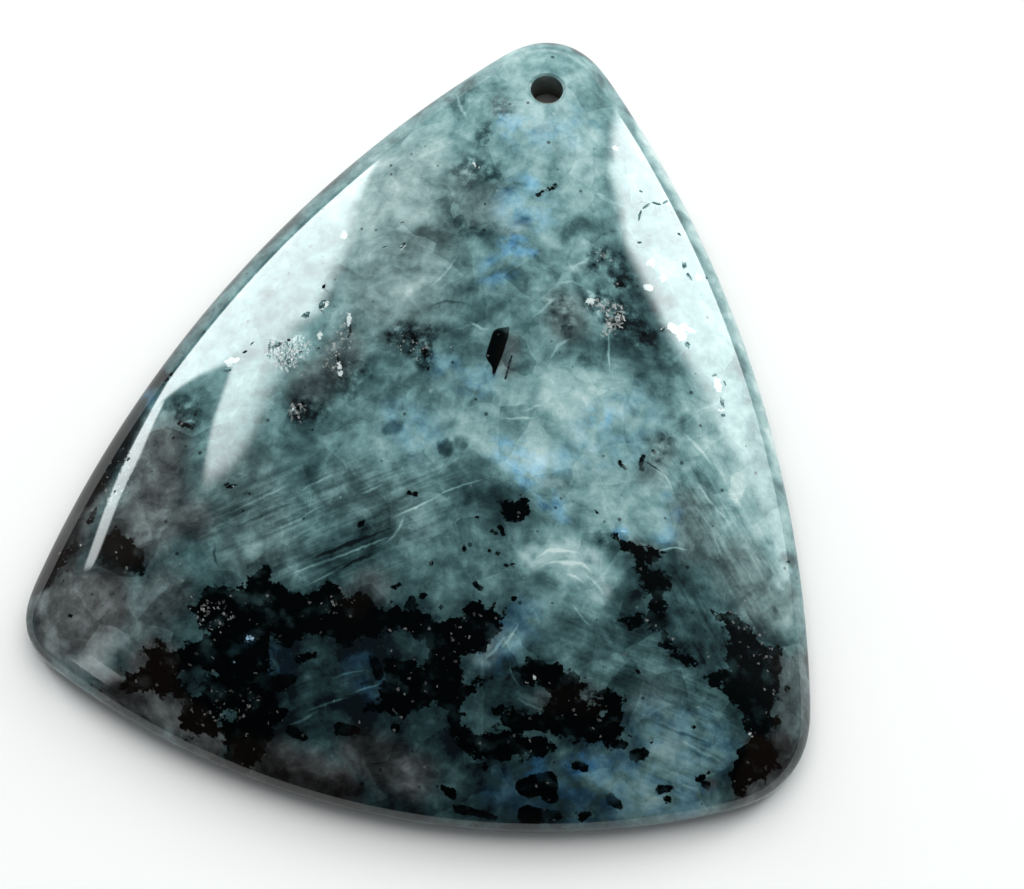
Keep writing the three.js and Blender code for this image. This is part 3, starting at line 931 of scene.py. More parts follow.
    (-0.45, 0.8, [(-11, 14.5, 0.2), (-16.2, 6.9, 0.2), (-18.7, 1.4, 0.3), (-20, -2, 0.5)]),
    (-0.8, 0.8, [(-20.4, -4, 0.7), (-22.2, -9, 0.9)]),
    (-0.6, 0.8, [(-22.6, -10.5, 0.7), (-23.6, -15, 0.9)]),
    (-0.35, 0.6, [(-23.6, -17.5, 0.4), (-21.5, -20.8, 0.3)]),
    (-0.3, 1, [(-12, -24, 0.4), (-4, -25.1, 0.4), (4, -25, 0.4)]),
]

# Milk-white clouds
MILK = [
    (0.55, 1.6, [(-1.4, 19, 0.5), (0.6, 19.3, 0.6)]),
    (0.45, 0.8, [(-1.2, 21.4, 0.3), (-0.9, 20.2, 0.3)]), (0.5, 0.7, [(1.5, 22, 0.2), (1.8, 21.2, 0.2)]),
    (0.35, 1, [(1.2, 17.8, 0.5), (3.6, 16.3, 0.3)]), (0.3, 0.8, [(-6.6, 10.6, 0.3)]),
    (0.4, 0.6, [(-0.2, 11.1, 0.3), (0.6, 11, 0.3)]), (0.55, 0.3, [(4.2, 9.5, 0.12), (4.9, 10, 0.1)]),
    (0.65, 0.7, [(5.9, -9.1, 0.3), (7.4, -8.5, 0.4), (8.8, -8.6, 0.3)]),
    (0.45, 0.8, [(9, -9.2, 0.3), (10.2, -10.2, 0.3)]), (0.35, 0.5, [(4, 0.2, 0.25), (4.6, 0.7, 0.3)]),
    (0.25, 1.2, [(5.4, 1.7, 0.5), (6.6, 0.9, 0.4)]), (0.3, 0.6, [(5.8, -4.3, 0.3), (6.6, -4.5, 0.2)]),
    (0.3, 0.8, [(4.2, -15.4, 0.25), (4.9, -14.2, 0.15)]),
    (0.35, 0.8, [(15.4, -18.3, 0.3), (15.9, -17.8, 0.2)]),
    (0.3, 1, [(-19.2, -19.8, 0.3), (-18.7, -20.3, 0.25)]),
    (0.2, 1, [(16.8, 0.6, 0.4), (17.8, -1.2, 0.4)]), (0.3, 0.6, [(-5.6, 6, 0.15), (-6.4, 6, 0.1)]),
]

# The blue sheen of the feldspar, painted into its colour, with a few painted blue glints
SHEEN = [
    (1.1, 1.2, [(3.2, -3, 0.5), (4.3, -3.8, 0.5)]), (0.5, 0.9, [(6, -2.7, 0.4)]),
    (0.75, 0.8, [(-1.8, 18, 0.3), (-1, 17.8, 0.3)]), (0.4, 1.6, [(0, 17.6, 0.5), (2.4, 18.6, 0.6)]),
    (0.95, 0.45, [(-0.5, 14.4, 0.4), (0.2, 14.2, 0.4)]), (0.5, 1.2, [(0, 12.4, 0.8), (1.4, 12.6, 0.6)]),
    (1, 0.3, [(0.1, 9.85, 0.4), (1.2, 9.95, 0.45)]), (0.7, 0.9, [(-0.4, 8, 0.4), (0.3, 8.6, 0.4)]),
    (0.35, 1.4, [(-1.6, 1.2, 0.3), (0.4, 0.8, 0.3)]), (1, 0.6, [(7.7, 0.5, 0.4)]),
    (0.3, 1.8, [(8, -1, 1), (9.5, 1, 0.8)]),
    (0.5, 0.6, [(12.6, -3.6, 0.2), (13.1, -4.6, 0.3), (12.9, -5.8, 0.3)]),
    (0.6, 0.8, [(5.8, -5.2, 0.3), (6.5, -6, 0.3)]), (0.3, 1.4, [(5.9, -12.8, 0.6), (4.8, -15, 0.5)]),
    (1, 0.7, [(10.4, -20.2, 0.3), (11.4, -20.1, 0.45)]),
    (0.45, 1.6, [(10.6, -21.6, 0.5), (12.2, -19.6, 0.4)]), (0.7, 0.6, [(8.3, -20.9, 0.35)]),
    (0.45, 2, [(13, -20.8, 0.6), (17, -20.4, 0.6)]), (0.3, 2, [(15, -17, 0.6), (18, -17.4, 0.6)]),
    (0.3, 1, [(-2.8, -17.4, 0.5), (-1.9, -18.6, 0.3)]), (1, 0.4, [(-9.8, -17.1, 0.3)]),
    (1, 0.4, [(-10.4, -18.5, 0.3)]), (1, 0.4, [(10.6, -6.2, 0.3)]),
    (0.3, 1.4, [(6.5, -22.4, 0.4), (13.6, -22.3, 0.3)]), (0.5, 0.5, [(-19.4, -3.1, 0.35)]),
    (0.25, 1.2, [(-10, -17.6, 0.6), (-8, -18, 0.5)]), (0.35, 1.6, [(-2.6, -3, 0.5), (-3.6, -2.4, 0.4)]),
]

# Warm, brownish or violet grey. At both lower corners and along the upper left rim it is partly the
# rock's own and partly a painted warm reflection.
WARMTH = [
    (0.85, 2.4, [(-18, -6, 0.6), (-17.6, -9, 1.2), (-18.4, -12, 1)]),
    (1, 2.4, [(-19.5, -16.5, 1.4), (-19.5, -18.5, 0.8)]),
    (0.95, 1.4, [(-22, -9, 0.8), (-22.5, -14.5, 0.8), (-21.5, -18.5, 0.8)]),
    (1, 1.2, [(-15.3, -19.2, 0.8), (-15, -20.4, 0.8)]),
    (1, 1.4, [(-17.5, -21.2, 0.4), (-13.5, -21.8, 0.5), (-11, -23.2, 0.6)]),
    (1, 1.6, [(-8, -23.6, 0.8), (-3, -24.2, 0.6)]), (0.85, 1.8, [(-2, -22, 0.5), (1.2, -22.8, 0.6)]),
    (0.45, 1.4, [(4.3, 6.6, 0.5), (4.7, 5.5, 0.4)]), (0.3, 1.2, [(-3.8, 13.8, 0.6), (-3.5, 12.5, 0.6)]),
    (0.5, 1, [(1.6, 3.6, 0.3), (1.6, 2, 0.2)]), (0.15, 2, [(-6, -7.2, 0.8), (-2, -8, 0.6)]),
    (0.35, 1.6, [(14.2, -4, 0.7), (15, -5.6, 0.7)]), (0.4, 2, [(17.5, -6, 0.8), (20, -8.5, 0.8)]),
    (1, 0.8, [(20.9, -16.9, 0.4), (21.3, -17.6, 0.6)]), (1, 1.4, [(22.4, -16, 0.5), (21.4, -19, 0.6)]),
    (0.4, 0.8, [(11.6, -7.1, 0.3), (12.2, -7.2, 0.3)]), (0.9, 0.4, [(18.5, -19.5, 0.2)]),
    (0.9, 0.5, [(-18.7, -13.5, 0.3)]), (0.3, 1, [(11.5, -2.2, 0.4), (11.9, -0.4, 0.3)]),
    (0.6, 1.6, [(-4.4, -13.9, 0.3), (-3, -12.8, 0.3)]),
    (0.55, 1.4, [(8.5, -16.9, 0.4), (10.8, -16.6, 0.3)]), (0.5, 1.8, [(-8, 1.5, 0.5), (-9.5, -1, 0.5)]),
    (0.75, 2, [(-15, -10.5, 0.5), (-16.5, -11.5, 0.5)]),
    (0.6, 2, [(-15.5, -15.5, 0.8), (-16.5, -18, 0.8)]), (0.65, 1.4, [(22.6, -11.5, 1), (22.8, -15, 1)]),
    (0.38, 4, [(-7, 13, 1), (-6, 6, 1.5)]), (0.25, 3, [(-12.5, -8, 1), (-10.5, -11.5, 1)]),
    (0.6, 1.2, [(-11, 14.6, 0.2), (-16.2, 7, 0.2), (-19, 1, 0.2)]), (0.2, 1.6, [(14.2, -15.6, 0.6)]),
    (0.35, 1.8, [(-2, 12, 0.6)]), (0.35, 2, [(-18, -11, 0.6)]),
]

# Cloudy dark mineral under the surface, with small bright grains in it
SMUDGES = [
    (0.9, 0.5, [(-5.1, 2.8, 0.5), (-4, 2.9, 0.7), (-3.2, 2, 0.7), (-2.8, 1.4, 0.3)]),
    (0.7, 0.8, [(-2.3, 14.5, 0.4), (-3.4, 14.6, 0.6)]),
    (0.6, 0.6, [(-3.1, 10.5, 0.3), (-1.9, 10.3, 0.2)]),
    (0.8, 0.8, [(5.6, 10.1, 0.3), (6.4, 10.7, 0.3), (7.4, 9.4, 0.5)]),
    (0.9, 1, [(6, 7.6, 0.4), (7.2, 7.2, 0.6), (9.3, 6.4, 0.4)]),
    (0.6, 1, [(-7.2, 0.2, 0.5), (-7.6, -0.8, 0.4)]), (0.7, 0.8, [(-9.9, -2.6, 0.4), (-8.8, -2.6, 0.3)]),
    (0.8, 0.6, [(-17, -3.4, 0.4), (-16.4, -4.3, 0.4)]),
    (0.9, 0.4, [(-2.4, 19.3, 0.3), (-2.2, 18.6, 0.3)]),
    (0.8, 0.4, [(-3, 17.4, 0.25), (-2.9, 16.5, 0.2)]),
    (0.6, 0.4, [(11.8, 0.2, 0.3), (11.4, -1.2, 0.4)]), (0.5, 0.6, [(9.2, -6.8, 0.3)]),
    (0.6, 0.8, [(3.8, 6.8, 0.4), (4.6, 5.9, 0.3)]),
]

# Where small metallic grains lie close together
METAL_GRAINS = [
    (1, 0.4, [(5.9, 7.5, 0.25), (7.1, 7.3, 0.4), (7.5, 6.7, 0.4), (7.1, 6.2, 0.3)]),
    (0.9, 0.5, [(-12.1, 0.9, 0.5), (-11.2, 0.6, 0.6), (-10.9, 1.2, 0.4)]),
    (0.4, 0.6, [(-12.5, -16.2, 0.5), (-11.8, -16, 0.5)]),
    (0.3, 0.5, [(-4.6, 2.4, 0.5), (-3.3, 2, 0.5)]), (0.5, 0.6, [(-8.3, 3.2, 0.4), (-8.6, 0.8, 0.5)]),
    (0.5, 0.5, [(-10, -2.8, 0.4)]), (0.12, 0.8, [(2.2, -15.3, 0.4), (3, -13.8, 0.5)]),
    (0.1, 0.6, [(-5.8, -14.6, 0.3), (-5.2, -14, 0.3)]),
    (0.1, 1, [(19.2, -10.4, 0.5), (20.7, -11.3, 0.5)]),
    (0.06, 0.8, [(13.4, -11, 0.3), (14.4, -12.1, 0.3)]),
    (0.1, 0.7, [(-9, -20.4, 0.4), (-11.9, -21.6, 0.3)]),
    (0.25, 0.6, [(-19.7, -7, 0.3), (-20.3, -9.5, 0.3)]),
    (0.5, 0.4, [(6.1, 10.6, 0.3), (5.6, 10.2, 0.2)]),
]

# The soft marks by the name that the material reads
SOFT_PATCHES = {
    "milk": MILK,
    "sheen": SHEEN,
    "warmth": WARMTH,
    "smudge": SMUDGES,
    "metal": METAL_GRAINS,
}

# Fine parallel streaks, one list for each way that they run
RISING_STREAKS = [
    (1, 3, [(-12, -10, 1), (-4, -8, 1.5), (-1, -6, 0.8)]), (0.8, 2, [(-9, -12, 0.6), (-3, -11, 0.8)]),
    (0.6, 2, [(-6, -19.6, 0.5), (-2.5, -18.2, 0.5)]), (0.5, 2, [(0, -6, 0.5), (2, -5.2, 0.5)]),
]
FALLING_STREAKS = [
    (1, 2.4, [(14.5, -2, 0.6), (18, -5, 0.8)]), (0.7, 2, [(16, -6, 0.8), (19, -8, 0.6)]),
    (0.5, 1.6, [(9, -9.5, 0.5), (11, -11, 0.5)]), (0.9, 1.5, [(14.5, -8.5, 0.5), (16.8, -12, 0.6)]),
]
LEVEL_STREAKS = [
    (0.9, 2.4, [(10, -12.5, 0.6), (17, -15.5, 1.5), (16, -19.5, 1)]),
    (0.5, 2, [(6, -17.2, 0.5), (7.8, -17.2, 0.3)]),
]
# Each kind of streak, with the angle at which it runs
STREAKS = {
    "rising": (RISING_STREAKS, -33),
    "falling": (FALLING_STREAKS, 48),
    "level": (LEVEL_STREAKS, 8),
}

# Fine lines in the rock. Each one has a strength, below 0 for a dark line, its width and its path.
VEINS = [
    (0.8, 0.13, [(7.05, 6.3), (7.25, 5.6), (7.45, 4.6), (7.85, 3.2)]),
    (0.5, 0.16, [(5.5, 5.2), (4.4, 4.2), (4, 2.8)]),
    (0.6, 0.14, [(-1.3, 4.55), (-0.7, 4.4), (-0.3, 4.15), (0.4, 4.3)]),
    (0.4, 0.16, [(2.3, 5.2), (3.3, 6.6), (3.9, 7.6)]),
    (0.6, 0.14, [(1.9, -1.15), (2.9, -0.95), (4.3, -0.5)]),
    (0.5, 0.12, [(3.2, -0.5), (3.9, 0.1), (4.6, 0.4)]),
    (0.5, 0.14, [(-9, -8.1), (-7.6, -7), (-6.4, -6.1)]),
    (0.6, 0.14, [(-5.4, -7.5), (-4.6, -7.1), (-3.9, -6.5)]),
    (0.7, 0.13, [(-3.2, -8.7), (-1.5, -7.4), (-0.2, -6.4)]),
    (0.7, 0.11, [(-1.2, -7.1), (0.3, -5.9), (2.3, -4.8)]),
    (0.6, 0.13, [(-8.4, -13.1), (-6.8, -12.1), (-5.2, -11.1)]),
    (0.9, 0.16, [(-7, -12.4), (-4.9, -10.9), (-2.4, -9.4)]),
    (-0.8, 0.22, [(-7.6, -12.2), (-5.4, -10.7), (-2.6, -8.9)]),
    (0.6, 0.12, [(-7.6, -13.8), (-5.8, -12.4), (-4.1, -10.9)]),
    (-0.6, 0.2, [(-6.6, -12.9), (-4.9, -11.7), (-3, -10.4)]),
    (0.6, 0.16, [(-3.1, -10.3), (-2.5, -9.2), (-2.2, -8)]),
    (0.5, 0.14, [(-10.8, -11.2), (-8.7, -9.9), (-6.8, -8.2)]),
    (0.4, 0.16, [(-12.8, -10.1), (-11, -8.8), (-9.2, -7.3)]),
    (-0.4, 0.2, [(-12.4, -11), (-10.4, -9.6), (-8.6, -8.4)]),
    (0.7, 0.13, [(-5.9, -20.6), (-4.4, -19.7), (-2.9, -19)]),
    (0.7, 0.12, [(-3.4, -19.1), (-2.3, -18.4), (-1.3, -18)]),
    (0.6, 0.14, [(-7, -21.6), (-5.8, -21), (-4.6, -20)]),
    (0.5, 0.12, [(-4.9, -18.5), (-3.7, -17.9), (-2.4, -17.4)]),
    (0.9, 0.12, [(11.2, -6.6), (12.9, -6.85), (13.6, -6.4), (15, -6.2)]),
    (0.9, 0.18, [(5.7, -9.2), (6.4, -8.5), (7.6, -8.2), (8.8, -8.2)]),
    (0.8, 0.2, [(5.9, -9.8), (7, -9), (8.6, -8.8), (9.9, -9.4)]),
    (0.6, 0.16, [(8.7, -9.3), (9.8, -9.8), (10.4, -10.6)]),
    (0.5, 0.12, [(7.4, -9.6), (8.4, -9.6), (9.2, -10.1)]),
    (0.8, 0.2, [(3.9, -15.8), (4.6, -14.9), (5.1, -13.8)]),
    (0.6, 0.16, [(4.8, -14.9), (5.4, -13.9), (5.8, -12.8)]),
    (0.6, 0.18, [(-5.4, 20.3), (-4.9, 19.2), (-4, 17.8)]),
    (0.5, 0.2, [(12.6, 1), (13.8, 0.3), (15.2, -0.8)]),
    (0.5, 0.1, [(8.4, -16.9), (9.1, -17.1), (9.8, -17.5)]),
    (0.5, 0.1, [(11, -1.7), (12.3, -2.1), (13.2, -3.3)]),
    (-0.8, 0.1, [(10.6, -1.5), (11.6, -1.8), (12.5, -2.2)]),
    (-0.6, 0.12, [(-13, -11.8), (-12.9, -12.6), (-12.4, -13.4)]),
    (0.5, 0.16, [(13.7, -1.6), (15.2, -2.9), (17, -4.2)]),
    (0.4, 0.16, [(14.2, -3.2), (15.6, -4.6), (16.8, -6.4)]),
    (0.5, 0.12, [(8.3, -11.1), (9.6, -12.2), (10.2, -12.3)]),
    (0.5, 0.16, [(16.2, -17.4), (17.8, -17.9), (19, -18)]),
    (-0.5, 0.16, [(14.2, -16.8), (16.2, -17.1), (18.6, -17.3)]),
    (0.5, 0.14, [(6.2, -17.1), (7, -17.5), (8.4, -17.6)]),
    (0.5, 0.12, [(5.5, -15.2), (5.9, -16.1), (6.8, -16.8)]),
    (-0.5, 0.16, [(-3.9, 4.9), (-2.8, 5.5), (-1.2, 5.6)]),
    (0.4, 0.14, [(-4.2, 6), (-3.2, 7.2), (-2.6, 8.8)]),
    (0.4, 0.14, [(5.6, 8.3), (4.4, 8.5), (3.2, 7.9)]),
    (-0.8, 0.12, [(-8.7, 3.5), (-8.2, 3.5), (-8, 2.6), (-8.1, 1.7)]),
    (-0.8, 0.12, [(-9, 1.2), (-8.5, 1.1), (-8.1, 0.3), (-7.9, -0.5)]),
    (-0.7, 0.12, [(-10.4, 4.3), (-10.1, 3.8), (-9.7, 3.5)]),
    (-0.7, 0.12, [(-10.3, 6), (-10.2, 5.2), (-9.7, 4.9)]),
    (0.5, 0.14, [(4, 9.2), (4.8, 9.9), (5.4, 10.8)]),
]
VEIN_SPACING = 1.4  # between two lines of one layer
VEIN_REACH = 0.8  # how far around it a line is kept
PATH_SAMPLES = 8  # on each part of a vein, to see whether two veins lie apart

# Painted glints: small patches painted bright, as small faces that catch the light
PAINTED_GLINTS = [
    [(8.8, 11.2, 0.25)], [(9.6, 10.5, 0.2)], [(8.9, 9.5, 0.28)],
    [(10.8, 7.4, 0.25), (11.5, 7, 0.25), (11.4, 7.7, 0.2), (12.1, 7.6, 0.15)],
    [(14.2, 4.9, 0.2), (14.3, 4.3, 0.2)], [(14.8, 3.1, 0.2)], [(11.7, 11.3, 0.25)], [(5.1, 18.2, 0.15)],
    [(-9.9, 9.1, 0.25)], [(-9.8, 4.2, 0.16)], [(-9.8, 2.1, 0.18)],
    [(-8.35, 3.8, 0.08), (-8.2, 3.1, 0.12)], [(-8.15, 2.2, 0.1)], [(-8.6, 1.1, 0.08)],
    [(-8.2, 0.5, 0.08), (-8, -0.2, 0.12)], [(-9.7, 6.4, 0.13)], [(-15, -0.3, 0.25), (-14.5, -0.1, 0.2)],
    [(-10.2, -2.9, 0.13)], [(-1.65, 2.65, 0.12)], [(-9.8, -17.05, 0.2)], [(-10.4, -18.5, 0.01)],
    [(-3.1, 14.9, 0.1), (-2.6, 14.6, 0.08)], [(5.9, 7.7, 0.12), (5.5, 7.4, 0.1)], [(20.4, -16.1, 0.12)],
    [(-21.2, -12.9, 0.1)], [(7.2, -15.9, 0.08)], [(10.6, -6.2, 0.12)],
]

# Pits where grains broke out of the polish: the middle, the length, the width and its direction
PITS = [
    (-10.3, 5.4, 0.35, 0.2, 80), (-10.1, 4.2, 0.4, 0.3, 60), (-9.7, 1.2, 0.4, 0.2, 70),
    (-10.9, 3.4, 0.25, 0.2, 0), (-13.8, 1.1, 0.3, 0.12, 60), (-14.1, 0.5, 0.35, 0.15, 30),
    (-14.9, -0.8, 0.5, 0.2, 10), (-12.2, 1.2, 0.3, 0.2, 20), (-11.3, 0.2, 0.35, 0.25, 110),
    (-10.7, 0.9, 0.3, 0.2, 40), (-11.6, 1.6, 0.25, 0.2, 0), (-6.5, 10.3, 0.3, 0.2, 20),
    (-7.2, 8.5, 0.4, 0.16, 20), (-6.2, 8.7, 0.3, 0.16, 60), (7.45, 14.1, 0.8, 0.17, 82),
    (7.72, 14.95, 0.7, 0.16, 52), (8.25, 15.35, 0.6, 0.14, 14), (8.75, 15.7, 0.55, 0.14, 50),
    (7.2, 15.8, 0.25, 0.15, 0), (10, 13.8, 0.26, 0.2, 0), (10.7, 11.8, 0.35, 0.2, 40),
    (11.1, 11.2, 0.3, 0.16, -20), (7.8, 12.3, 0.3, 0.16, 30), (12.2, 11.5, 0.25, 0.16, 0),
    (13.9, 5.2, 0.4, 0.14, 40), (14.6, 4.9, 0.35, 0.14, -50), (14.7, 3.6, 0.35, 0.2, 100),
    (14.9, 2.8, 0.3, 0.2, 20), (10.3, 7.1, 0.35, 0.2, 60), (11.9, 6.6, 0.3, 0.18, 0),
    (-12.8, -8.2, 0.6, 0.2, 15), (-19.6, -7.2, 0.3, 0.16, 70), (-19.9, -9.4, 0.25, 0.16, 70),
    (20.5, -5, 0.4, 0.2, 30),
]
PIT_SEED = 5
PIT_SUBDIVISIONS = 2
PIT_DEPTH = 0.5  # of its width
PIT_ROUGHNESS = 0.22

# The rock's colours as the camera shows them, from the darkest feldspar to the palest
FELDSPAR_TONES = {
    0: "#0e171b", 0.2: "#243b3e", 0.4: "#446264", 0.6: "#6c9091", 0.8: "#97b6b5", 1: "#c6d9d6",
}
WARM_TONES = {
    0: "#191514", 0.2: "#352f2e", 0.4: "#5a5655", 0.6: "#848382", 0.8: "#a7aaaa", 1: "#d0d2d2",
}
# the painted blue sheen, by tone
SHEEN_TONES = {0: "#0d3050", 0.35: "#2f6ea0", 0.6: "#77b4d6", 1: "#b4dcea"}
MILK_COLOUR = "#b4cccd"
BLACK_COLOUR = "#020506"
BROWN_BLACK_COLOUR = "#100c09"
# the metallic grains, painted pale as their glint
METAL_GLINT_COLOUR = "#b9bcb8"
# the painted glints: white, and blue where the painted sheen is
PAINTED_GLINT_COLOUR = "#dce8e6"
GLINT_COLOUR = "#a9d4ee"
BORE_COLOUR = "#7c7a6b"
LIGHT_GAIN = 1.65  # how much brighter than its own colour the lights show a matt surface

# The edges of mineral patches and of the painted glints: how far they swing, how fine their teeth are,
# and their softness
PATCH_EDGES = {
    "black_mass": {"raggedness": 2.4, "scale": 1.3, "softness": 0.06},
    "black_grain": {"raggedness": 0.5, "scale": 3.0, "softness": 0.04},
    "crystal": {"raggedness": 0.08, "scale": 2.0, "softness": 0.04},
    "painted_glint": {"raggedness": 0.9, "scale": 3.0, "softness": 0.04},
}
# black_mass also holds the black painted along the left rim as shade
BLACK_MINERALS = ("black_mass", "black_grain", "crystal")
EDGE_NOISE = {"Detail": 5.0, "Roughness": 0.68}

# The grain of feldspar. Rates are turns of noise to the mm: along, across and downwards.
CRYSTAL_RATE = 0.4
CRYSTAL_BEND_RATE = 0.45
CRYSTAL_BEND = 0.9
LAMELLA_RATES = (0.35, 2.6, 1.0)
LAMELLA_NOISE = {"size": 1.0, "detail": 3.0, "roughness": 0.6}
CLOUD_NOISE = {"size": 1.5, "detail": 6.0, "roughness": 0.64}
CRYSTAL_TONE = 0.15
LAMELLA_TONE = 0.16
CLOUD_TONE = 1.0

# The streaks, of which a share is fine and the rest is broad
FINE_STREAK_RATES = (0.22, 3.2, 0.6)
BROAD_STREAK_RATES = (0.12, 1.1, 0.4)
FINE_STREAK_NOISE = {"size": 1.0, "detail": 3.0, "roughness": 0.6}
BROAD_STREAK_NOISE = {"size": 1.0, "detail": 2.0}
FINE_STREAK_SHARE = 0.6

# The metallic grains, painted pale as glints, and how many there are: in a rich cluster, in black rock
# and anywhere
FLAKE_RATE = 7.0
FLAKE_BEND_RATE = 3.0
FLAKE_BEND = 0.25
FLAKE_CONTRAST = 1.6
FLAKE_LEAST_GLOW = 0.1
RICH_FLAKES = 0.5
BLACK_FLAKES = 0.01
STRAY_FLAKES = 0.001
FLAKE_COVER = 0.25
RICH_FLAKE_COVER = 0.55  # what a rich cluster adds to it

# The specks
SPECKS = {"scale": 1.1, "share": 0.4, "size": 0.11}
SPECK_LEAST_SIZE = 0.4
SPECK_SOFTNESS = 0.05
SPECK_COVER = 0.75

# Tones run from 0, the darkest, to 1. This is how much each thing adds to them.
MIDDLE_TONE = 0.52
MARK_TONE = 0.5
STREAK_TONE = 0.78
SHADE_TONE = -0.2
SHADE_START = -1.6  # mm outside a black mass
SHADE_END = 0.2
VEIN_TONE = 0.4
VEIN_WAVER = 0.8  # of a vein's width
WAVER_NOISE = {"size": 0.7, "detail": 2.0}
MURK_TONE = 1.9
MURK_LEVEL = 0.55
MURK_NOISE = {"size": 0.6, "detail": 3.0, "roughness": 0.6}

# How fully one colour covers another, and the levels of noise or warmth between which it comes in
WARM_COVER = 0.75
MILK_NOISE = {"size": 0.8, "detail": 5.0, "roughness": 0.6}
MILK_LEVELS = (0.3, 0.7)
# the painted blue sheen
SHEEN_NOISE = {"size": 0.9, "detail": 3.0, "roughness": 0.5}
SHEEN_LEVELS = (0.35, 0.62)
SHEEN_COVER = 0.62
BROWN_LEVELS = (0.2, 0.9)
THIN_BLACK_NOISE = {"size": 1.3, "detail": 3.0}
THIN_BLACK_LEVELS = (0.5, 0.72)
THIN_BLACK_COVER = 0.72
# of the painted glints
PAINTED_GLINT_COVER = 0.75

# The polish: a clear coat over matt rock
ROCK_ROUGHNESS = 0.5
ROCK_SPECULAR = 0.03
COAT_ROUGHNESS = 0.03
RELIEF_NOISE = {"size": 0.25, "detail": 2.0}
ROCK_BUMP = {"Strength": 0.35, "Distance": 0.04 * MM}
COAT_BUMP = {"Strength": 1.0, "Distance": 0.025 * MM}

# How the pattern runs down through the stone: mm aside for each mm of depth, and a slow bend
SLANT = (0.5, -0.35)
BEND = 1.6
BEND_LENGTH = 4.0
BEND_START = 1.0

# How far soft marks are pushed about, in mm, by coarse noise and by finer noise
STRAY = 0.45
STRAY_LENGTH = 1.6
FINE_STRAY_SHARE = 0.5
FINE_STRAY_RATE = 2.5
STRAY_SEED = 5  # without it, the noise takes its offsets from the time of day

FAR = 100.0  # mm outside a patch, before any patch is found
TINY = 1e-6  # stands in for a length of nothing, which can't be divided by
SMALLEST_GRAIN = 0.16  # the radius in mm that the mesh can still show
BORE_EDGE = 0.02
MOUTH_DEPTH = 0.25


def vertex_places(thing):
    """Every vertex's place, in mm."""
    flat = np.empty(3 * len(thing.data.vertices))
    thing.data.vertices.foreach_get("co", flat)
    return flat.reshape(-1, 3) / MM


def depths_below(dome, places):
    """How deep each place lies below the dome, straight down, in mm."""
    depths = []
    for x, y, z in places:
        top, _, _, _ = dome.ray_cast(Vector((x * MM, y * MM, HIGH_ABOVE)), DOWN)
        surface = top.z / MM if top else GIRDLE_HEIGHT
        depths.append(max(surface - z, 0.0))
    return np.array(depths)


def rock_places(places, depths):
    """The same places in the rock's pattern, which runs aslant and bends on its way down."""
    x, y, z = places.T
    bend = BEND * depths / THICKNESS
    east = x + SLANT[0] * depths + bend * np.sin(y / BEND_LENGTH + BEND_START)
    north = y + SLANT[1] * depths + bend * np.cos(x / BEND_LENGTH)
    return np.column_stack((east, north, z))


def chain_depth(places, chain):
    """How deep each place lies inside a chain of blobs, in mm, and below 0 outside it."""
    depth = np.full(len(places), -FAR)
    for start, end in zip(chain, chain[1:] or chain):
        way = np.subtract(end[:2], start[:2])
        away = places - start[:2]
        share = np.clip(away @ way / max(way @ way, TINY), 0, 1)
        away = away - share[:, None] * way
        radius = start[2] + share * (end[2] - start[2])
        depth = np.maximum(depth, radius - np.hypot(away[:, 0], away[:, 1]))
    return depth


def outline_depth(places, corners):
    """How deep each place lies inside a closed outline, in mm, and below 0 outside it."""
    x, y = places.T
    edge = chain_depth(places, [(*corner, 0.0) for corner in corners + corners[:1]])
    inside = np.zeros(len(places), dtype=bool)
    for start, end in zip(corners, corners[1:] + corners[:1]):
        lower, upper = sorted((start, end), key=lambda corner: corner[1])
        beside = (y > lower[1]) & (y <= upper[1])
        slope = (upper[0] - lower[0]) / max(upper[1] - lower[1], TINY)
        inside ^= beside & (x < lower[0] + (y - lower[1]) * slope)
    return np.where(inside, -edge, edge)


def stray(places):
    """The same places pushed about a little, which breaks the edges of soft marks."""
    space_noise.seed_set(STRAY_SEED)
    pushed = []
    for x, y in places:
        coarse = space_noise.noise_vector(Vector((x, y, 0)) / STRAY_LENGTH)
        finer = Vector((x, y, STRAY_LENGTH)) / STRAY_LENGTH * FINE_STRAY_RATE
        push = (coarse + space_noise.noise_vector(finer) * FINE_STRAY_SHARE) * STRAY
        pushed.append((x + push.x, y + push.y))
    return np.array(pushed)


def path_points(path):
    """Points spread evenly along each part of a path."""
    parts = [np.linspace(start, end, PATH_SAMPLES) for start, end in zip(path, path[1:])]
    return np.concatenate(parts)


def apart(path, other):
    """Whether two paths keep the veins' spacing everywhere."""
    chain = [(x, y, 0.0) for x, y in other]
    return chain_depth(path_points(path), chain).max() < -VEIN_SPACING


def vein_layers():
    """The veins in layers, so that those of one layer lie well apart."""
    layers = []
    for vein in VEINS:
        free = [layer for layer in layers if all(apart(vein[2], other[2]) for other in layer)]
        if free:
            free[0].append(vein)
        else:
            layers.append([vein])
    return layers


def vein_lines(places, layer):
    """For each place, by its nearest vein: how far aside it lies in widths, how far along from -1
    to 1, and the vein's strength. Straight between the mesh's vertices, so that lines stay fine."""
    nearest = np.full(len(places), VEIN_REACH)
    lines = np.zeros((len(places), 3))
    for strength, width, path in layer:
        lengths = [math.dist(start, end) for start, end in zip(path, path[1:])]
        passed = 0.0
        for start, end, length in zip(path, path[1:], lengths):
            way = np.subtract(end, start) / length
            away = places - start
            along = away @ way
            aside = away @ (-way[1], way[0])
            gap = np.hypot(aside, along - np.clip(along, 0, length))
            near = gap < nearest
            lines[near, 0] = aside[near] / width
            lines[near, 1] = 2 * (passed + along[near]) / sum(lengths) - 1
            lines[near, 2] = strength
            nearest[near] = gap[near]
            passed += length
    return lines


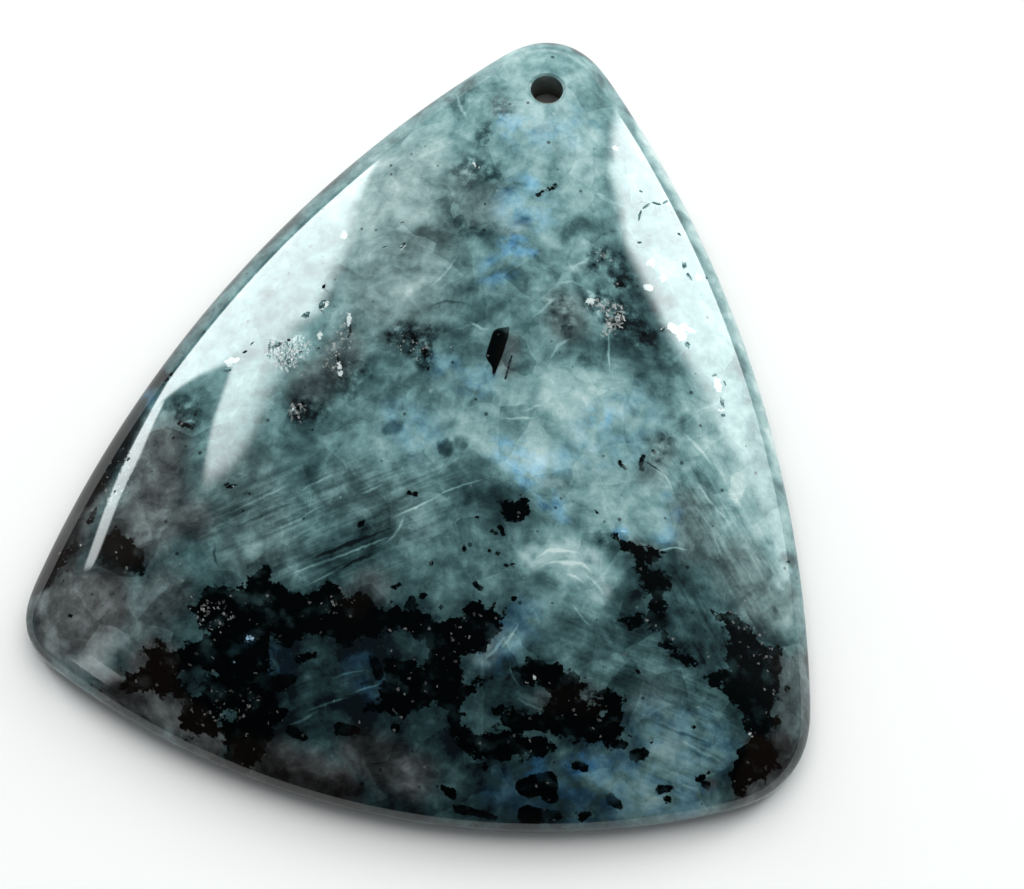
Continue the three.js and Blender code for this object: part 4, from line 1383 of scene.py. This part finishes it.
def soft_marks(places, marks, blend):
    """The strength of some soft marks at each place, put together by blend."""
    found = np.zeros(len(places))
    for strength, fade, chain in marks:
        share = np.clip(1 + chain_depth(places, chain) / fade, 0, 1)
        found = blend(found, strength * share * share * (3 - 2 * share))
    return found


def in_outlines(places, outlines):
    """How deep each place lies inside the nearest of some outlines."""
    return np.max([outline_depth(places, outline) for outline in outlines], axis=0)


def in_chains(places, chains):
    """How deep each place lies inside the nearest of some chains."""
    return np.max([chain_depth(places, chain) for chain in chains], axis=0)


def keep(thing, name, values):
    """Keeps a number or a vector for each vertex, for the material to read."""
    kind, field = ("FLOAT", "value") if values.ndim == 1 else ("FLOAT_VECTOR", "vector")
    kept = thing.data.attributes.new(name, kind, "POINT")
    kept.data.foreach_set(field, values.astype(np.float32).ravel())


def grow_minerals(thing, dome):
    """Works out what each point of the surface is made of."""
    places = vertex_places(thing)
    depths = depths_below(dome, places)
    rock = rock_places(places, depths)
    plan = rock[:, :2]
    grains = [[(x, y, max(radius, SMALLEST_GRAIN)) for x, y, radius in chain] for chain in BLACK_GRAINS]
    masses = np.minimum(in_outlines(plan, BLACK_MASSES), -in_outlines(plan, CLEARINGS))
    keep(thing, "rock_place", rock)
    keep(thing, "black_mass", masses)
    keep(thing, "black_grain", in_chains(plan, grains))
    keep(thing, "crystal", in_outlines(plan, CRYSTALS))
    # the painted glints
    keep(thing, "painted_glint", in_chains(plan, PAINTED_GLINTS))
    strayed = stray(plan)
    keep(thing, "tone", soft_marks(strayed, TONES, np.add))
    for name, marks in SOFT_PATCHES.items():
        keep(thing, name, soft_marks(strayed, marks, np.maximum))
    for name, (marks, _) in STREAKS.items():
        keep(thing, name, soft_marks(plan, marks, np.maximum))
    for number, layer in enumerate(vein_layers()):
        keep(thing, f"veins_{number}", vein_lines(plan, layer))
    in_hole = np.hypot(*(places[:, :2] - HOLE_PLACE).T) < MOUTH_RADIUS + BORE_EDGE
    keep(thing, "bore", (in_hole & (depths > MOUTH_DEPTH)).astype(float))


def shown(hex_colour):
    """The surface's own colour, linear, for a colour as the camera shows it in sRGB."""
    parts = [int(hex_colour[i : i + 2], 16) / 255 for i in (1, 3, 5)]
    linear = [p / 12.92 if p <= 0.04045 else ((p + 0.055) / 1.055) ** 2.4 for p in parts]
    return (*[p / LIGHT_GAIN for p in linear], 1)


def spun(tree, place, angle):
    """A place turned about the upright axis."""
    inputs = {"Vector": place, "Angle": angle}
    return put(tree, "ShaderNodeVectorRotate", inputs, rotation_type="Z_AXIS").outputs[0]


def bent(tree, place, rate, amount):
    """A place pushed about by noise."""
    drift = put(tree, "ShaderNodeTexNoise", {"Vector": place, "Scale": rate, "Detail": 2.0})
    inputs = {0: drift.outputs["Color"], "Scale": amount}
    push = put(tree, "ShaderNodeVectorMath", inputs, operation="SCALE").outputs[0]
    return turn(tree, "ADD", place, push)


def cells(tree, place, rate):
    """Cells packed side by side. Gives the distance from the middle of each, and two random numbers
    of its own."""
    cell = put(tree, "ShaderNodeTexVoronoi", {"Vector": place, "Scale": rate}).outputs
    own = put(tree, "ShaderNodeSeparateColor", {"Color": cell["Color"]}).outputs
    return cell["Distance"], own["Red"], own["Green"]


def swing(tree, value):
    """Noise as an amount above or below 0."""
    return figure(tree, "SUBTRACT", value, 0.5)


def ragged_patch_group():
    """A ragged-edged patch, for the minerals and for the painted glints, from how deep a place lies
    inside it.
    """
    numbers = dict.fromkeys(("Depth", "Raggedness", "Scale", "Softness"), NUMBER)
    tree, given, result = new_group("ragged_patch", {"Place": VECTOR, **numbers}, "Mask")
    inputs = {"Vector": given["Place"], "Scale": given["Scale"], **EDGE_NOISE}
    rough = put(tree, "ShaderNodeTexNoise", inputs).outputs["Fac"]
    teeth = figure(tree, "MULTIPLY", swing(tree, rough), given["Raggedness"])
    depth = figure(tree, "ADD", given["Depth"], teeth)
    outside = figure(tree, "MULTIPLY", given["Softness"], -1.0)
    feed(tree, result, {"Mask": ease(tree, depth, outside, given["Softness"])})
    return tree


def streaks_group():
    """Parallel streaks that run at an angle, as a tone above or below 0."""
    inputs = {"Place": VECTOR, "Angle": NUMBER, "Amount": NUMBER}
    tree, given, result = new_group("streaks", inputs, "Tone")
    along = spun(tree, given["Place"], given["Angle"])
    fine_place = turn(tree, "MULTIPLY", along, FINE_STREAK_RATES)
    broad_place = turn(tree, "MULTIPLY", along, BROAD_STREAK_RATES)
    fine = noise(tree, fine_place, **FINE_STREAK_NOISE)
    broad = noise(tree, broad_place, **BROAD_STREAK_NOISE)
    fine = figure(tree, "MULTIPLY", fine, FINE_STREAK_SHARE)
    broad = figure(tree, "MULTIPLY", broad, 1 - FINE_STREAK_SHARE)
    both = swing(tree, figure(tree, "ADD", fine, broad))
    feed(tree, result, {"Tone": figure(tree, "MULTIPLY", both, given["Amount"])})
    return tree


def flakes_group():
    """Small angular grains packed side by side, of which a share is picked, as a mask. Each picked
    grain gets a painted glint of its own strength.
    """
    inputs = {"Place": VECTOR, "Scale": NUMBER, "Share": NUMBER}
    tree, given, result = new_group("flakes", inputs, "Mask")
    place = bent(tree, given["Place"], FLAKE_BEND_RATE, FLAKE_BEND)
    _, pick, glow = cells(tree, place, given["Scale"])
    chosen = figure(tree, "LESS_THAN", pick, given["Share"])
    painted_glint = figure(tree, "ADD", figure(tree, "POWER", glow, FLAKE_CONTRAST), FLAKE_LEAST_GLOW)
    feed(tree, result, {"Mask": figure(tree, "MULTIPLY", chosen, painted_glint)})
    return tree


def specks_group():
    """Round specks scattered one by one, as a mask."""
    inputs = {"Place": VECTOR, "Scale": NUMBER, "Share": NUMBER, "Size": NUMBER}
    tree, given, result = new_group("specks", inputs, "Mask")
    distance, pick, growth = cells(tree, given["Place"], given["Scale"])
    chosen = figure(tree, "LESS_THAN", pick, given["Share"])
    size = figure(tree, "MULTIPLY", given["Size"], figure(tree, "ADD", growth, SPECK_LEAST_SIZE))
    near = figure(tree, "SUBTRACT", size, distance)
    mask = ease(tree, near, -SPECK_SOFTNESS, SPECK_SOFTNESS)
    feed(tree, result, {"Mask": figure(tree, "MULTIPLY", chosen, mask)})
    return tree


def feldspar_grain_group():
    """The grain of feldspar: crystals a few mm across, each with its own tone and its own fine
    parallel lamellae, under warped clouds. Gives a tone above or below 0."""
    tree, given, result = new_group("feldspar_grain", {"Place": VECTOR}, "Tone")
    place = bent(tree, given["Place"], CRYSTAL_BEND_RATE, CRYSTAL_BEND)
    _, own_tone, own_turn = cells(tree, place, CRYSTAL_RATE)
    along = spun(tree, place, figure(tree, "MULTIPLY", own_turn, math.pi))
    lamella_place = turn(tree, "MULTIPLY", along, LAMELLA_RATES)
    lamellae = noise(tree, lamella_place, **LAMELLA_NOISE)
    clouds = noise(tree, place, **CLOUD_NOISE)
    tone = 0.0
    for part, amount in ((own_tone, CRYSTAL_TONE), (lamellae, LAMELLA_TONE), (clouds, CLOUD_TONE)):
        tone = figure(tree, "MULTIPLY_ADD", swing(tree, part), amount, tone)
    feed(tree, result, {"Tone": tone})
    return tree


def vein_group():
    """The lines of one layer of veins, as a tone above or below 0."""
    tree, given, result = new_group("vein", {"Line": VECTOR, "Waver": NUMBER}, "Tone")
    line = put(tree, "ShaderNodeSeparateXYZ", {"Vector": given["Line"]}).outputs
    aside = figure(tree, "ABSOLUTE", figure(tree, "ADD", line["X"], given["Waver"]))
    reach = figure(tree, "ADD", aside, figure(tree, "POWER", line["Y"], 2.0))
    share = ease(tree, reach, 0.0, 1.0, 1.0, 0.0)
    feed(tree, result, {"Tone": figure(tree, "MULTIPLY", share, line["Z"])})
    return tree


def use(tree, group, **inputs):
    """Places a node group, with its inputs by name."""
    named = {key.capitalize(): value for key, value in inputs.items()}
    return put(tree, "ShaderNodeGroup", named, node_tree=group).outputs[0]


def patch_mask(tree, patch, place, name):
    """Where one kind of patch is. The kinds are the black minerals and the painted glints."""
    return use(tree, patch, place=place, depth=read(tree, name), **PATCH_EDGES[name])


def black_mask(tree, patch, place):
    """Where the rock is black."""
    black = 0.0
    for name in BLACK_MINERALS:
        black = figure(tree, "MAXIMUM", black, patch_mask(tree, patch, place, name))
    return black


def with_streaks(tree, place, tone):
    """Adds each kind of streak to a tone."""
    streaks = streaks_group()
    for name, (_, angle) in STREAKS.items():
        amount = figure(tree, "MULTIPLY", read(tree, name), STREAK_TONE)
        lines = use(tree, streaks, place=place, angle=math.radians(angle), amount=amount)
        tone = figure(tree, "ADD", tone, lines)
    return tone


def with_veins(tree, place, tone):
    """Adds the veins to a tone, with the same waver in every layer."""
    vein = vein_group()
    wander = noise(tree, place, **WAVER_NOISE)
    waver = figure(tree, "MULTIPLY_ADD", wander, 2 * VEIN_WAVER, -VEIN_WAVER)
    for number in range(len(vein_layers())):
        line = read(tree, f"veins_{number}", "Vector")
        tone = figure(tree, "MULTIPLY_ADD", use(tree, vein, line=line, waver=waver), VEIN_TONE, tone)
    return tone


def feldspar_tone(tree, place):
    """How light the feldspar is: its mapped tone and grain, with streaks, a shade round the black
    masses, veins, and murk in the smudges."""
    tone = figure(tree, "MULTIPLY_ADD", read(tree, "tone"), MARK_TONE, MIDDLE_TONE)
    tone = figure(tree, "ADD", tone, use(tree, feldspar_grain_group(), place=place))
    tone = with_streaks(tree, place, tone)
    shade = ease(tree, read(tree, "black_mass"), SHADE_START, SHADE_END, 0.0, SHADE_TONE)
    tone = with_veins(tree, place, figure(tree, "ADD", tone, shade))
    murk = figure(tree, "SUBTRACT", noise(tree, place, **MURK_NOISE), MURK_LEVEL)
    murk = figure(tree, "MULTIPLY", murk, read(tree, "smudge"))
    return figure(tree, "MULTIPLY_ADD", murk, MURK_TONE, tone)


def feldspar_colour(tree, place):
    """Teal or warm grey by its tone, with milky clouds and then a painted blue sheen over it."""
    tone = feldspar_tone(tree, place)
    warm = figure(tree, "MULTIPLY", read(tree, "warmth"), WARM_COVER)
    colour = blend(tree, warm, ramp(tree, tone, FELDSPAR_TONES), ramp(tree, tone, WARM_TONES))
    cloud = ease(tree, noise(tree, place, **MILK_NOISE), *MILK_LEVELS)
    milk = figure(tree, "MULTIPLY", read(tree, "milk"), cloud)
    colour = blend(tree, milk, colour, shown(MILK_COLOUR))
    # the painted blue sheen, in flashes
    flash = ease(tree, noise(tree, place, **SHEEN_NOISE), *SHEEN_LEVELS)
    sheen = figure(tree, "MULTIPLY", read(tree, "sheen"), flash)
    sheen = figure(tree, "MULTIPLY", sheen, SHEEN_COVER)
    return blend(tree, sheen, colour, ramp(tree, tone, SHEEN_TONES))


def with_black(tree, place, colour, black):
    """Lays the specks and the black minerals over a colour."""
    specks = use(tree, specks_group(), place=place, **SPECKS)
    specks = figure(tree, "MULTIPLY", specks, SPECK_COVER)
    colour = blend(tree, specks, colour, shown(BLACK_COLOUR))
    brown = ease(tree, read(tree, "warmth"), *BROWN_LEVELS)
    dark = blend(tree, brown, shown(BLACK_COLOUR), shown(BROWN_BLACK_COLOUR))
    patchy = noise(tree, place, **THIN_BLACK_NOISE)
    cover = ease(tree, patchy, *THIN_BLACK_LEVELS, 1.0, THIN_BLACK_COVER)
    return blend(tree, figure(tree, "MULTIPLY", black, cover), colour, dark)


def with_metal_glints(tree, place, colour, black):
    """Lays the metallic grains over a colour, painted pale as their glints."""
    richness = read(tree, "metal")
    share = figure(tree, "MULTIPLY_ADD", richness, RICH_FLAKES, STRAY_FLAKES)
    share = figure(tree, "MULTIPLY_ADD", black, BLACK_FLAKES, share)
    cover = figure(tree, "MULTIPLY_ADD", richness, RICH_FLAKE_COVER, FLAKE_COVER)
    flakes = use(tree, flakes_group(), place=place, scale=FLAKE_RATE, share=share)
    return blend(tree, figure(tree, "MULTIPLY", flakes, cover), colour, shown(METAL_GLINT_COLOUR))


def with_painted_glints(tree, patch, place, colour):
    """Lays the painted glints over a colour: white, and blue where the rock has its painted sheen."""
    glint = blend(tree, read(tree, "sheen"), shown(PAINTED_GLINT_COLOUR), shown(GLINT_COLOUR))
    painted_glint_mask = figure(tree, "MULTIPLY", patch_mask(tree, patch, place, "painted_glint"), PAINTED_GLINT_COVER)
    return blend(tree, painted_glint_mask, colour, glint)


def polish(tree, surface, place):
    """The slight waviness of the rock and of its clear coat, which the drilled wall doesn't have."""
    relief = noise(tree, place, **RELIEF_NOISE)
    broken = figure(tree, "MULTIPLY", relief, figure(tree, "POWER", read(tree, "metal"), 2.0))
    rock = put(tree, "ShaderNodeBump", {"Height": relief, **ROCK_BUMP})
    coat = put(tree, "ShaderNodeBump", {"Height": broken, **COAT_BUMP})
    inputs = {
        "Normal": rock.outputs["Normal"],
        "Roughness": ROCK_ROUGHNESS,
        "Specular IOR Level": ROCK_SPECULAR,
        "Coat Normal": coat.outputs["Normal"],
        "Coat Weight": figure(tree, "SUBTRACT", 1.0, read(tree, "bore")),
        "Coat Roughness": COAT_ROUGHNESS,
    }
    feed(tree, surface, inputs)


def make_material(thing):
    """Feldspar, the minerals that are laid over it, and the polish, as the stone's one material."""
    paint = bpy.data.materials.new("polished_larvikite")
    paint.use_nodes = True
    tree = paint.node_tree
    place = read(tree, "rock_place", "Vector")
    patch = ragged_patch_group()
    black = black_mask(tree, patch, place)
    colour = feldspar_colour(tree, place)
    colour = with_black(tree, place, colour, black)
    # metallic grains with painted glints
    colour = with_metal_glints(tree, place, colour, black)
    # the painted glints
    colour = with_painted_glints(tree, patch, place, colour)
    colour = blend(tree, read(tree, "bore"), colour, shown(BORE_COLOUR))
    surface = tree.nodes["Principled BSDF"]
    feed(tree, surface, {"Base Color": colour})
    polish(tree, surface, place)
    thing.data.materials.clear()
    thing.data.materials.append(paint)


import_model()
bpy.context.scene.view_settings.view_transform = "Standard"
make_camera()
make_floor()
make_lights()
stone = make_stone()
make_material(stone)
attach(stone, "root")
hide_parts("larvikite_stone")
